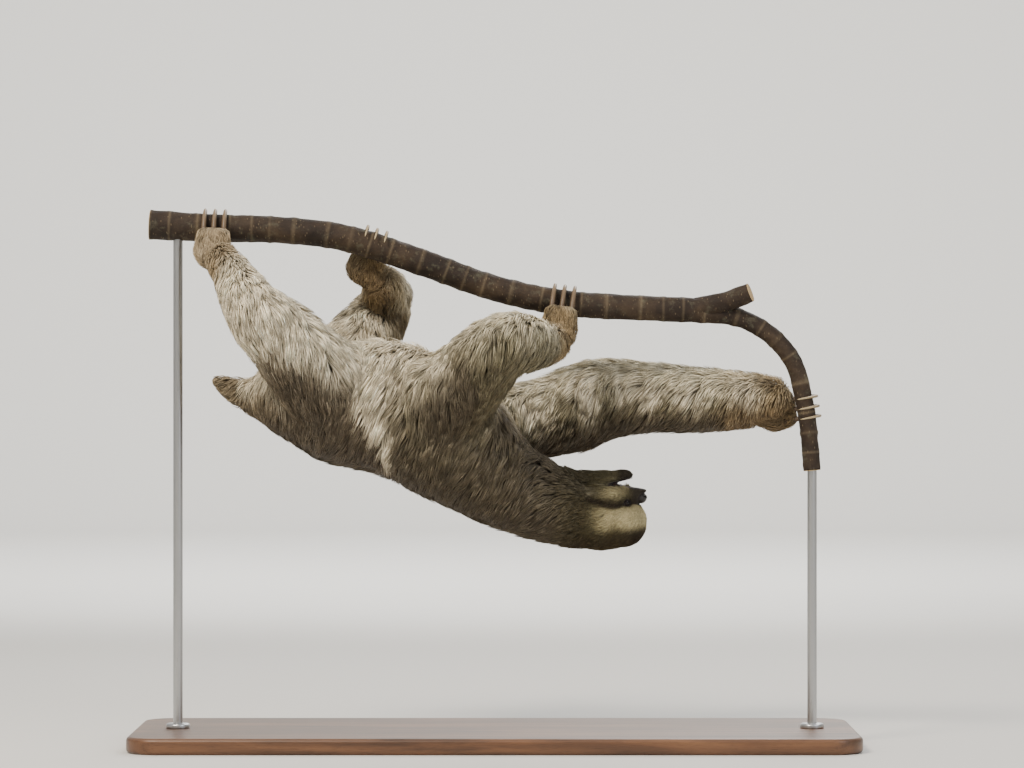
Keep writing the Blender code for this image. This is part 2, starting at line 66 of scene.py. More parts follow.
def fill(node, values):
    # by name: the stops of a colour ramp, a link from another node's output, a setting, or a socket's value
    for name, value in values.items():
        if name == "stops":
            for _ in value[2:]:
                node.color_ramp.elements.new(0.5)
            for element, (place, hexColour) in zip(node.color_ramp.elements, value):
                element.position = place
                element.color = (*linear(hexColour), 1)
        elif isinstance(value, bpy.types.NodeSocket):
            node.id_data.links.new(value, node.inputs[name])
        elif isinstance(name, str) and hasattr(node, name):
            setattr(node, name, value)
        else:
            node.inputs[name].default_value = value
    return node


def addNode(tree, kind, values, output=0):
    # a node with its settings and links; what it gives is the output that other nodes take
    return fill(tree.nodes.new("ShaderNode" + kind), values).outputs[output]


def newMaterial(name, values):
    # a Principled material with constant values on its own sockets: (material, tree, shader)
    material = bpy.data.materials.new(name)
    material.use_nodes = True
    tree = material.node_tree
    return material, tree, fill(tree.nodes["Principled BSDF"], values)


def norm(v):
    # the length of each vector
    return np.linalg.norm(v, axis=-1)


def unit(v):
    # the same way, one long
    return v / np.maximum(norm(v)[..., None], 1e-12)


def fade(low, high, x):
    # 0 at low, 1 at high, and the cubic 3t^2 - 2t^3 between; low may be the greater
    t = np.clip((x - low) / (high - low), 0, 1)
    return t * t * (3 - 2 * t)


def bell(x):
    # a soft bump of height 1: exp(-x^2)
    return np.exp(-(x**2))


def ripple(points, size, seed, waves=7):
    # smooth noise, about -1 to 1: sines across random directions, one wave each `size` metres or so
    own = np.random.default_rng(seed)
    ways = unit(own.normal(size=(waves, 3))) * own.uniform(0.7, 1.5, (waves, 1))
    phases = own.uniform(0, 2 * math.pi, waves)
    return np.sin(points @ ways.T * (2 * math.pi / size) + phases).sum(1) / math.sqrt(waves) * 0.9


def circle(columns):
    # angles evenly round a full turn
    return np.linspace(0, 2 * math.pi, columns, endpoint=False)


def ringOf(columns):
    # the unit circle: (cos a, sin a)
    return np.stack([np.cos(circle(columns)), np.sin(circle(columns))], -1)


def catmullRom(points, steps):
    # a smooth curve through the rows: cubics whose slope at a row is half the step between its neighbours
    p = np.array(points, float)
    p = np.vstack([2 * p[0] - p[1], p, 2 * p[-1] - p[-2]])
    t = (np.arange(steps) / steps)[None, :, None]
    a, b, c, d = (p[i : len(p) - 3 + i, None] for i in range(4))
    rows = 0.5 * (2 * b + (c - a) * t + (2 * a - 5 * b + 4 * c - d) * t**2 + (3 * b - a - 3 * c + d) * t**3)
    return np.vstack([rows.reshape(-1, p.shape[1]), p[-2]])


def closestOnPath(points, path):
    # for each point, the nearest place on the path: (distance, row with fraction, radius there)
    best = np.full(len(points), 1e9)
    place = np.zeros(len(points))
    for i in range(len(path) - 1):
        a, b = path[i, :3], path[i + 1, :3]
        span = b - a
        t = np.clip((points - a) @ span / (span @ span), 0, 1)
        far = norm(points - a - t[:, None] * span)
        near = far < best
        best[near] = far[near]
        place[near] = i + t[near]
    return best, place, np.interp(place, np.arange(len(path)), path[:, 3])


def rowAt(path, place):
    # the path's nearest row to each place on it: (its position, the way the path runs there)
    row = np.clip(np.round(place).astype(int), 0, len(path) - 1)
    return path[row, :3], unit(np.gradient(path[:, :3], axis=0))[row]


def added(name, data):
    # an object that holds the data, in the scene
    obj = bpy.data.objects.new(name, data)
    bpy.context.scene.collection.objects.link(obj)
    return obj


def makeObject(name, points, faces):
    # a smooth-shaded mesh object
    mesh = bpy.data.meshes.new(name)
    mesh.from_pydata(np.asarray(points, float).tolist(), [], faces)
    mesh.update()
    mesh.shade_smooth()
    return added(name, mesh)


def placePiece(obj, material, slot, *nodes):
    # a finished piece: its material, its body, and the CAD nodes that it stands for; the slot is not used
    obj.data.materials.append(material)
    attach(obj, "root")
    if nodes:
        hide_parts(*nodes)


def readMesh(mesh):
    # points and triangles of a mesh as arrays
    points = np.empty(len(mesh.vertices) * 3)
    mesh.vertices.foreach_get("co", points)
    mesh.calc_loop_triangles()
    faces = np.empty(len(mesh.loop_triangles) * 3, np.int32)
    mesh.loop_triangles.foreach_get("vertices", faces)
    return points.reshape(-1, 3), faces.reshape(-1, 3)


def setPoints(obj, points):
    # the same mesh with its points moved
    obj.data.vertices.foreach_set("co", np.ascontiguousarray(points, np.float32).ravel())
    obj.data.update()


def setColour(mesh, name, colour):
    # a colour for each point, in linear RGB
    attribute = mesh.color_attributes.new(name, "FLOAT_COLOR", "POINT")
    values = np.column_stack([colour, np.ones(len(colour))])
    attribute.data.foreach_set("color", values.astype(np.float32).ravel())


def setUv(mesh, name, uv):
    # a UV map with one place for each corner of each face
    mesh.uv_layers.new(name=name).data.foreach_set("uv", uv.astype(np.float32).ravel())


def cornerPoints(mesh):
    # the number of the point at each corner of each face
    corners = np.empty(len(mesh.loops), np.int32)
    mesh.loops.foreach_get("vertex_index", corners)
    return corners


def pointNormals(points, faces):
    # each point's normal: the sum of its triangles' area vectors, made one long
    a, b, c = (points[faces[:, k]] for k in range(3))
    area = np.cross(b - a, c - a)
    total = [np.bincount(faces.ravel(), np.repeat(area[:, k], 3), len(points)) for k in range(3)]
    return unit(np.stack(total, 1))


def applied(obj):
    # the object with its modifiers made real
    bpy.context.view_layer.update()
    mesh = bpy.data.meshes.new_from_object(obj.evaluated_get(bpy.context.evaluated_depsgraph_get()))
    old = obj.data
    obj.modifiers.clear()
    obj.data = mesh
    bpy.data.meshes.remove(old)
    return obj


def edited(obj, work):
    # the object after some work on its mesh in bmesh
    bm = bmesh.new()
    bm.from_mesh(obj.data)
    work(bm)
    bm.to_mesh(obj.data)
    bm.free()
    return obj


def outward(obj):
    # faces turned to point outwards
    return edited(obj, lambda bm: bmesh.ops.recalc_face_normals(bm, faces=bm.faces))


def gridFaces(rows, columns):
    # quads of a grid whose rows are closed rings
    i = np.arange(rows - 1)[:, None] * columns
    j = np.arange(columns)[None]
    k = (j + 1) % columns
    return np.stack([i + j, i + k, i + columns + k, i + columns + j], -1).reshape(-1, 4).tolist()


def carry(centres, rings):
    # a profile carried along a path: offsets (side, up) from each centre, in a frame that doesn't twist
    way = unit(np.gradient(centres, axis=0))
    side = np.cross(way[0], [0.0, 0.0, 1.0])
    if norm(side) < 0.2:
        side = np.cross(way[0], [0.0, 1.0, 0.0])
    sides = []
    for w in way:  # the frame is slid along, and set square to the path at each row
        side = unit(side - (side @ w) * w)
        sides.append(side)
    sides = np.array(sides)
    ups = np.cross(sides, way)
    return centres[:, None] + sides[:, None] * rings[..., :1] + ups[:, None] * rings[..., 1:]


def capped(rings):
    # a closed skin from a grid of rings, with each end drawn to its middle point
    rows, columns = rings.shape[:2]
    flat = rings.reshape(-1, 3)
    n, last = len(flat), (rows - 1) * columns
    faces = gridFaces(rows, columns)
    faces += [(n, (j + 1) % columns, j) for j in range(columns)]
    faces += [(n + 1, last + j, last + (j + 1) % columns) for j in range(columns)]
    return np.vstack([flat, rings[0].mean(0), rings[-1].mean(0)]), faces


def stacked(shapes):
    # several (points, faces) as one
    points, faces, n = [], [], 0
    for p, f in shapes:
        points.append(p)
        faces += [tuple(i + n for i in face) for face in f]
        n += len(p)
    return np.vstack(points), faces


def solid(name, *shapes):
    # an object of one or more closed shapes, which may overlap
    return outward(makeObject(name, *stacked(shapes)))


def fuse(obj, voxel):
    # one closed skin around all of the object's overlapping shapes
    remesh = obj.modifiers.new("fuse", "REMESH")
    remesh.mode = "VOXEL"
    remesh.voxel_size = voxel
    remesh.use_smooth_shade = True
    return applied(obj)


def combine(obj, other, operation):
    # a boolean of two closed shapes, which uses up the second
    boolean = obj.modifiers.new("combine", "BOOLEAN")
    boolean.operation = operation
    boolean.object = other
    applied(obj)
    bpy.data.objects.remove(other, do_unlink=True)


def relax(values, faces, times, weight=1.0):
    # each point's values move half way to the mean of its neighbours', as far as its weight lets them
    ends = np.concatenate([faces[:, [0, 1]], faces[:, [1, 2]], faces[:, [2, 0]]])
    ends = np.unique(np.sort(ends, 1), axis=0)
    a, b = np.concatenate([ends, ends[:, ::-1]]).T
    count = np.maximum(np.bincount(a, minlength=len(values)), 1)[:, None]
    for _ in range(times):
        mean = np.stack([np.bincount(a, values[b, k], len(values)) for k in range(3)], 1) / count
        values = values + (mean - values) * 0.5 * weight
    return values


def roundTube(stations, columns=20, widen=1.0):
    # a tube through x, y, z, radius, with a half ball at each end: rings of radius r cos a, moved r sin a
    path = catmullRom(stations, 5)
    way = unit(np.gradient(path[:, :3], axis=0))
    a = np.radians([88, 66, 44, 22])[:, None]
    start, end = (
        np.hstack([path[row, :3] + sign * way[row] * path[row, 3] * np.sin(a), path[row, 3] * np.cos(a)])
        for row, sign in ((0, -1), (-1, 1))
    )
    path = np.vstack([start, path, end[::-1]])
    points = carry(path[:, :3], path[:, 3][:, None, None] * ringOf(columns)[None])
    points[..., 1] *= widen
    return capped(points)


def globe(rows, columns, pole=0.02):
    # angles from pole to pole down the rows, and round the columns: sin a, cos a, cos b, sin b
    a = np.linspace(pole, math.pi - pole, rows)[:, None]
    b = circle(columns)[None]
    return np.sin(a), np.cos(a) * np.ones_like(b), np.cos(b), np.sin(b)


def ball(centre, radii):
    # an ellipsoid: radii times (sin a cos b, sin a sin b, cos a)
    sinA, cosA, cosB, sinB = globe(16, 28)
    return capped(np.stack([sinA * cosB, sinA * sinB, cosA], -1) * radii + centre)


# Each part of the body from its root to its end: x, y, z, the radius out to the tips of the coat,
# how thick the coat is there, and how long its hair is.
body = {
    "spine": (
        (-0.311, 0, 0.431, 0.016, 0.008, 0.030),
        (-0.2875, 0, 0.434, 0.039, 0.013, 0.040),
        (-0.244, 0, 0.434, 0.0625, 0.017, 0.044),
        (-0.194, 0, 0.4275, 0.079, 0.018, 0.046),
        (-0.1375, 0, 0.424, 0.087, 0.018, 0.046),
        (-0.0875, 0, 0.404, 0.087, 0.018, 0.046),
        (-0.041, 0, 0.370, 0.079, 0.017, 0.044),
        (0.002, 0, 0.334, 0.062, 0.015, 0.038),
        (0.050, 0, 0.3085, 0.0535, 0.014, 0.034),
        (0.096, 0, 0.2925, 0.0485, 0.012, 0.030),
    ),
    "tail": (
        (-0.296, 0, 0.434, 0.027, 0.012, 0.030),
        (-0.327, 0, 0.444, 0.019, 0.009, 0.022),
        (-0.347, 0, 0.456, 0.010, 0.005, 0.016),
    ),
    "leftArm": (
        (-0.0625, -0.055, 0.4275, 0.058, 0.016, 0.042),
        (-0.026, -0.112, 0.4640, 0.051, 0.015, 0.042),
        (0.010, -0.168, 0.4980, 0.042, 0.013, 0.038),
        (0.044, -0.108, 0.5000, 0.036, 0.012, 0.034),
        (0.070, -0.052, 0.5000, 0.026, 0.0075, 0.018),
    ),
    "rightArm": (
        (-0.031, 0.055, 0.390, 0.055, 0.015, 0.040),
        (0.031, 0.090, 0.403, 0.050, 0.015, 0.040),
        (0.0875, 0.100, 0.414, 0.056, 0.016, 0.042),
        (0.131, 0.100, 0.430, 0.056, 0.015, 0.042),
        (0.194, 0.085, 0.434, 0.047, 0.014, 0.038),
        (0.256, 0.066, 0.431, 0.044, 0.013, 0.036),
        (0.321, 0.044, 0.430, 0.0375, 0.0105, 0.022),
        (0.345, 0.036, 0.429, 0.0345, 0.0090, 0.016),
    ),
    "leftLeg": (
        (-0.214, -0.050, 0.455, 0.060, 0.016, 0.042),
        (-0.254, -0.088, 0.500, 0.052, 0.015, 0.042),
        (-0.291, -0.118, 0.538, 0.041, 0.013, 0.036),
        (-0.315, -0.084, 0.574, 0.031, 0.011, 0.030),
        (-0.336, -0.050, 0.603, 0.024, 0.007, 0.016),
    ),
    "rightLeg": (
        (-0.210, 0.050, 0.449, 0.058, 0.016, 0.042),
        (-0.172, 0.092, 0.503, 0.049, 0.015, 0.042),
        (-0.140, 0.124, 0.550, 0.038, 0.013, 0.036),
        (-0.140, 0.087, 0.570, 0.032, 0.011, 0.030),
        (-0.142, 0.050, 0.578, 0.025, 0.007, 0.016),
    ),
}
trunkWidening = 1.12
flesh, paths = {}, {}  # the rows with the coat taken off, and a smooth path through them
for name, rows in body.items():
    rows = np.array(rows, float)
    rows[:, 3] -= rows[:, 4]
    flesh[name], paths[name] = rows[:, :4], catmullRom(rows, 4)

# The branch with its side shoot: x, y, z, radius.
branch = {
    "rows": (
        (-0.431, 0.000, 0.6490, 0.0185),
        (-0.350, 0.000, 0.6450, 0.0170),
        (-0.269, 0.003, 0.6425, 0.0165),
        (-0.1875, 0.000, 0.6325, 0.0165),
        (-0.094, 0.004, 0.6030, 0.0165),
        (-0.006, 0.004, 0.5715, 0.0160),
        (0.085, 0.000, 0.5515, 0.0160),
        (0.181, -0.002, 0.5450, 0.0155),
        (0.256, 0.000, 0.5415, 0.0150),
        (0.304, 0.001, 0.5330, 0.0115),
        (0.344, 0.000, 0.5115, 0.0112),
        (0.3725, 0.000, 0.4775, 0.0110),
        (0.385, 0.000, 0.4360, 0.0110),
        (0.392, 0.000, 0.3925, 0.0108),
        (0.39625, 0.000, 0.3425, 0.0108),
    ),
    "stub": ((0.240, 0.0, 0.5425, 0.0130), (0.285, -0.010, 0.5520, 0.0125), (0.318, -0.018, 0.5640, 0.0120)),
    "ringSpacing": 0.031,
    "unevenness": 0.22,  # how far a scar strays, in ring spacings
    "ringHeight": 0.0008,
    "lineDepth": 0.0005,
    "lumpReach": 0.016,
    # the bark's lumps: size, how far the stem's length is squeezed for them, step of the seed, height
    "lumps": ((0.016, 1, 0, 0.00028), (0.006, 0.25, 1, 0.00016)),
}
gripPath = catmullRom(branch["rows"], 8)

# The grips: where on the wood, the palm's side of it, the way the claws first run, and the claw's last angle.
grips = {
    "leftHand": {"part": "leftArm", "at": (0.085, 0, 0.5515), "side": -1, "over": (0, 0, 1), "end": 172},
    "rightHand": {"part": "rightArm", "at": (0.388, 0, 0.4215), "side": 1, "over": (1, 0, 0), "end": 172},
    "leftFoot": {"part": "leftLeg", "at": (-0.350, 0, 0.645), "side": -1, "over": (0, 0, 1), "end": 150},
    "rightFoot": {"part": "rightLeg", "at": (-0.158, 0, 0.625), "side": 1, "over": (0, 0, 1), "end": 150},
}
claw = {
    "spacing": 0.0125,
    "rootRadius": 0.0043,
    "tipRadius": 0.0009,
    "curve": {"Hand": 0.0310, "Foot": 0.0285},
    "start": -24,
    "clearance": 0.0012,
    "digitRadius": 0.0100,
    "wristRadius": 0.0135,
    "digitCoat": 0.0032,
    "digitHair": 0.0105,
    # the claw's section, in its radius: half its width, and its height below and above the middle
    "width": 0.80,
    "below": 0.78,
    "above": 1.02,
    "rows": 44,
    "columns": 24,
    "fingerBelow": 0.026,  # how far under its end a finger or toe bends
    "fingerRootSpacing": 0.006,
}

for name, grip in grips.items():
    # the grip's centre on the wood, with unit vectors along the wood, over it, and to the palm's side
    near = int(norm(gripPath[:, :3] - np.array(grip["at"])).argmin())
    low, high = max(near - 1, 0), min(near + 1, len(gripPath) - 1)
    along = unit(gripPath[high, :3] - gripPath[low, :3])
    over = np.array(grip["over"], float)
    over = unit(over - (over @ along) * along)
    side = np.cross(along, over)
    if side[1] * grip["side"] < 0:
        side = -side
    centre, wood = gripPath[near, :3], gripPath[near, 3]
    curve = claw["curve"][name[-4:]]
    drop = wood + claw["clearance"] + claw["rootRadius"] * 0.8 - curve
    wrist = np.array(body[grip["part"]][-1][:3])
    grip.update(centre=centre, along=along, side=side, over=over, curve=curve, drop=drop, digits=[])
    for number in (-1, 0, 1):
        end = centre + along * number * claw["spacing"] + side * (curve + 0.003) + over * (drop - 0.002)
        below = end - over * claw["fingerBelow"] + side * 0.002
        start = wrist + along * number * claw["fingerRootSpacing"]
        radii = (claw["wristRadius"] * 1.25, claw["wristRadius"], claw["digitRadius"])
        rows = [(*spot, radius - claw["digitCoat"]) for spot, radius in zip((start, below, end), radii)]
        grip["digits"].append(rows)

# The head hangs crown down.  In its own frame x runs to the nose, y to the animal's left, z to the crown.
# Its forms: centre, radii out to the coat, and the coat's thickness; one off the middle is on both sides.
headForms = {
    "cranium": ((-0.006, 0, 0.005), (0.046, 0.044, 0.045), 0.0070),
    "brow": ((0.0235, 0, 0.014), (0.030, 0.037, 0.031), 0.0034),
    "crown": ((0.006, 0, 0.020), (0.030, 0.034, 0.0305), 0.0060),
    "nape": ((-0.028, 0, 0.006), (0.034, 0.040, 0.042), 0.0080),
    "muzzle": ((0.0305, 0, -0.0185), (0.0215, 0.0190, 0.0130), 0.0015),
    "upperLip": ((0.0350, 0, -0.0250), (0.0172, 0.0172, 0.0085), 0.0010),
    "orbit": ((0.0215, 0.0160, -0.0095), (0.0125, 0.0125, 0.0110), 0.0010),
    "cheek": ((0.004, 0.021, -0.021), (0.030, 0.022, 0.024), 0.0038),
    "jaw": ((0.003, 0, -0.0385), (0.033, 0.022, 0.0125), 0.0028),
    "chin": ((0.0215, 0, -0.0435), (0.0150, 0.0135, 0.0094), 0.0026),
    "throat": ((-0.022, 0, -0.036), (0.028, 0.024, 0.0145), 0.0035),
}
head = {
    "place": (0.1375, 0.0, 0.2915),
    "yaw": math.radians(-9),
    "nose": ((0.0455, 0, -0.0165), (0.0070, 0.0105, 0.0070)),
    "muzzleTip": (0.046, 0, -0.020),  # the hair grows longer with the distance from here
    "eye": (0.0278, 0.0190, -0.0110),
    "eyeRadius": 0.0056,
    "eyeWay": (0.74, 0.67, 0.02),
    # the open mouth: its corner, and how far it opens above and below that at `mouthReach`
    "mouthCorner": (0.008, -0.0335),
    "mouthReach": 0.062,
    "mouthAbove": 0.0075,
    "mouthBelow": 0.0140,
}
headTurn = np.array(Matrix.Rotation(head["yaw"], 3, "Z") @ Matrix.Rotation(math.pi, 3, "X"))
headPlace = np.array(head["place"])


def fromHead(points):
    # from the head's own frame to the part's
    return np.asarray(points) @ headTurn.T + headPlace


def toHead(points):
    # from the part's frame to the head's own
    return (np.asarray(points) - headPlace) @ headTurn


def mouthWedge():
    # the open mouth: a wedge with its edge at the corner of the mouth, thicker towards the lips
    cx, cz = head["mouthCorner"]
    reach = head["mouthReach"]
    above, below = cz + head["mouthAbove"], cz - head["mouthBelow"]
    outline = np.array([(reach, above), (cx, cz + 0.0004), (cx, cz - 0.0004), (reach, below)])
    near = np.column_stack([outline[:, 0], np.full(4, -0.05), outline[:, 1]])
    far = near + (0, 0.10, 0)
    faces = [(0, 1, 2, 3), (7, 6, 5, 4)] + [(i, i + 4, (i + 1) % 4 + 4, (i + 1) % 4) for i in range(4)]
    return solid("mouthWedge", (fromHead(np.vstack([near, far])), faces))


def mouthEdges(x):
    # heights of the upper and the lower edge of the open mouth at x
    cx, cz = head["mouthCorner"]
    run = np.clip((x - cx) / (head["mouthReach"] - cx), 0, 1)
    return cz + head["mouthAbove"] * run, cz - head["mouthBelow"] * run


def eyeFrame(sign):
    # the eye's centre and its own axes: outwards, along the lids to the ear, and up towards the brow
    centre = np.array(head["eye"]) * (1, sign, 1)
    out = unit(np.array(head["eyeWay"]) * (1, sign, 1))
    up = unit(np.array([0, 0, 1.0]) - out[2] * out)
    along = np.cross(up, out) * sign
    return centre, out, along, up


eyes = {sign: eyeFrame(sign) for sign in (-1, 1)}


def lidMeasure(a, b):
    # an almond about the eye: the same value along an oval 1.25 wide and 0.85 high
    return np.sqrt((a / 1.25) ** 2 + (b / 0.85) ** 2)


sculpt = {
    "slit": (0.0030, 0.0035),  # in lid measure, where the skin comes up from behind the eyeball as a lid
    "behindEye": 0.0026,
    "overEye": 0.0010,
    "lidRim": 0.0047,  # from here out the lid slopes away
    "lidSlope": 0.55,
    "lidReach": (0.0092, 0.0050),
    "crease": (0.0064, 0.0008, 0.0007),  # its place in lid measure, its width and depth
    "fold": (0.10, 0.0016, 0.0016),  # its slope, width and depth
    "lip": (0.0022, 0.0019),  # the lips' roll: how far it lies from the mouth's edge, and its width
    "lipHeights": (0.0010, 0.0008),
    "groove": (0.0012, 0.0010),  # width and depth
    "bridge": (0.006, 0.0012),
}


def sculptHead(points):
    # lids, lips, folds, the nose's bridge and its groove, as smooth moves of points in the head's own frame
    p = toHead(points)
    for centre, out, along, up in eyes.values():
        v = p - centre
        h = v @ out
        a, b = v @ along, v @ up
        q, m = np.hypot(a, b), lidMeasure(a, b)
        rim = sculpt["lidRim"]
        dome = np.sqrt(np.maximum(head["eyeRadius"] ** 2 - np.minimum(q, rim) ** 2, 0))
        # inside the slit the skin lies behind the eyeball; at the slit's edge it rises over it as a lid
        inside = dome - sculpt["behindEye"]
        lid = dome + sculpt["overEye"] - np.maximum(q - rim, 0) * sculpt["lidSlope"]
        target = inside + (lid - inside) * fade(*sculpt["slit"], m)
        front = fade(-0.002, 0.001, h)
        p += out * ((target - h) * fade(*sculpt["lidReach"], m) * front)[:, None]
        # a crease over the upper lid, and a fainter one under the lower
        far, width, depth = sculpt["crease"]
        crease = bell((m - far) / width) * front
        p -= out * (depth * crease * (0.35 + 0.65 * fade(-0.001, 0.002, b)))[:, None]
    # the lips roll outwards along the mouth's two edges
    cx, cz = head["mouthCorner"]
    upper, lower = mouthEdges(p[:, 0])
    front = fade(cx - 0.004, cx + 0.010, p[:, 0])
    way = unit(p * (0.5, 1.0, 0.0))
    off, width = sculpt["lip"]
    for edge, lift in zip((upper + off, lower - off), sculpt["lipHeights"]):
        p += way * (lift * bell((p[:, 2] - edge) / width) * front)[:, None]
    # a fold runs back from the corner of the mouth and fades on the cheek
    back = p[:, 0] - cx
    slope, width, depth = sculpt["fold"]
    fold = bell((p[:, 2] - cz - slope * back) / width) * fade(-0.016, -0.004, back) * fade(0.006, 0.0, back)
    p -= way * (depth * fold)[:, None]
    # a groove runs down the middle between the nose and the lips, and the bridge of the nose is a soft ridge
    x, y, z = p.T.copy()
    width, depth = sculpt["groove"]
    x -= depth * bell(y / width) * fade(0.042, 0.050, x) * fade(-0.034, -0.029, z) * fade(-0.020, -0.024, z)
    width, height = sculpt["bridge"]
    bridge = bell(y / width) * fade(0.030, 0.042, x) * fade(-0.014, -0.008, z) * fade(0.012, 0.002, z)
    return fromHead(np.column_stack([x + height * bridge, y, z]))


skinPlan = {
    "bodyVoxel": 0.0034,  # the grain at which the overlapping shapes are fused
    "headVoxel": 0.0013,
    "mouthVoxel": 0.0011,
    "finer": (0.0110, 0.0075),  # the head's mesh is halved twice, within these distances of the eyes
    "bodyRounds": 14,  # rounds of evening out
    "headRounds": 16,
    "mouthRounds": 5,
    "handHold": 0.75,  # how much of their shape hands and feet keep
}


def makeHeadFlesh():
    # the head's forms and the neck fused, the mouth cut, the mesh refined at the eyes and sculpted
    shapes = []
    for centre, radii, coat in headForms.values():
        for sign in (1, -1) if centre[1] else (1,):
            points, faces = ball(np.array(centre) * (1, sign, 1), np.array(radii) - coat)
            shapes.append((fromHead(points), faces))
    obj = fuse(solid("headFlesh", *shapes, roundTube(flesh["spine"][-3:])), skinPlan["headVoxel"])
    points, faces = readMesh(obj.data)
    setPoints(obj, relax(points, faces, skinPlan["headRounds"]))
    combine(obj, mouthWedge(), "DIFFERENCE")
    fuse(obj, skinPlan["mouthVoxel"])

    def refine(bm):  # a finer mesh within reach of the eyes, for the lids
        local = toHead(np.array([v.co for v in bm.verts]))
        near = np.zeros(len(local), bool)
        for centre, out, _, _ in eyes.values():
            near |= norm(local - centre - out * 0.004) < reach
        edges = [e for e in bm.edges if near[e.verts[0].index] and near[e.verts[1].index]]
        bmesh.ops.subdivide_edges(bm, edges=edges, cuts=1, use_grid_fill=True)
        bmesh.ops.triangulate(bm, faces=[f for f in bm.faces if len(f.verts) > 4])

    for reach in skinPlan["finer"]:
        edited(obj, refine)
    points, faces = readMesh(obj.data)
    height = toHead(points)[:, 2]
    nearMouth = fade(-0.048, -0.042, height) * fade(-0.020, -0.026, height)
    points = relax(points, faces, skinPlan["mouthRounds"], 0.25 + 0.75 * nearMouth[:, None])
    setPoints(obj, sculptHead(points))
    return obj


def weld(bm):
    # points in one place made one, and every face cut into triangles
    bmesh.ops.remove_doubles(bm, verts=bm.verts, dist=1e-6)
    bmesh.ops.triangulate(bm, faces=bm.faces)


def makeSkin():
    # the whole animal's skin: the body's tubes fused, then the head joined to it as one surface
    shapes = [roundTube(flesh["spine"], 28, trunkWidening)]
    shapes += [roundTube(rows) for name, rows in flesh.items() if name != "spine"]
    shapes += [roundTube(digit, 14) for grip in grips.values() for digit in grip["digits"]]
    skin = fuse(solid("skin", *shapes), skinPlan["bodyVoxel"])
    points, faces = readMesh(skin.data)
    # hands and feet keep more of their shape than the long body does
    handy = np.zeros(len(points))
    for grip in grips.values():
        far = norm(points - grip["centre"] - grip["side"] * grip["curve"])
        handy = np.maximum(handy, fade(0.05, 0.025, far))
    weight = (1 - skinPlan["handHold"] * handy)[:, None]
    setPoints(skin, relax(points, faces, skinPlan["bodyRounds"], weight))
    headFlesh = makeHeadFlesh()
    report("head sculpted")
    combine(skin, headFlesh, "UNION")
    skin.data.materials.clear()
    edited(skin, weld)
    skin.data.shade_smooth()
    return skin


skin = makeSkin()
skinPoints, skinFaces = readMesh(skin.data)
skinNormals = pointNormals(skinPoints, skinFaces)
report(f"skin: {len(skinFaces)} triangles")


def belonging(points):
    # soft shares of each part of the body at the points, and each part's nearest row there
    ratios, places = [], []
    for name, path in paths.items():
        scaled = points / (1, trunkWidening, 1) if name == "spine" else points
        far, place, radius = closestOnPath(scaled, path)
        ratios.append(far / np.maximum(radius, 0.006))
        places.append(place)
    ratios, places = np.array(ratios), np.array(places)
    shares = np.exp(-(ratios - ratios.min(0)) / 0.12)
    return shares / shares.sum(0), places


def headShare(points):
    # 1 on the head, fading to 0 along the neck
    local = toHead(points)
    near = fade(0.082, 0.060, norm(local - (0.004, 0, -0.004)))
    return near * fade(-0.052, -0.018, local[:, 0])


def handShare(points):
    # 1 on the fingers and toes, fading to 0 at the wrist or ankle
    share = np.zeros(len(points))
    for grip in grips.values():
        for digit in grip["digits"]:
            path = catmullRom(digit, 4)
            far, place, radius = closestOnPath(points, path)
            along = place / (len(path) - 1)
            share = np.maximum(share, fade(2.1, 1.4, far / radius) * fade(0.05, 0.45, along))
    return share


fur = {
    "grey": "#85765d",
    "cream": "#e9dec4",
    "dark": "#3b3025",
    "olive": "#6b6547",
    "green": "#858862",
    "golden": "#8b714a",
    "throat": "#463d2f",
    "face": "#cbbf95",
    "mask": "#2c221a",
    "cheek": "#98907b",
    "muzzle": "#2a2420",
}


# The lower edge of the cream fan on the flank, a painted patch of sunlight: x, and its height there.
sunlitFanEdge = {
    "x": (-0.256, -0.215, -0.183, -0.152, -0.124),
    "z": (0.502, 0.488, 0.470, 0.436, 0.366),
}


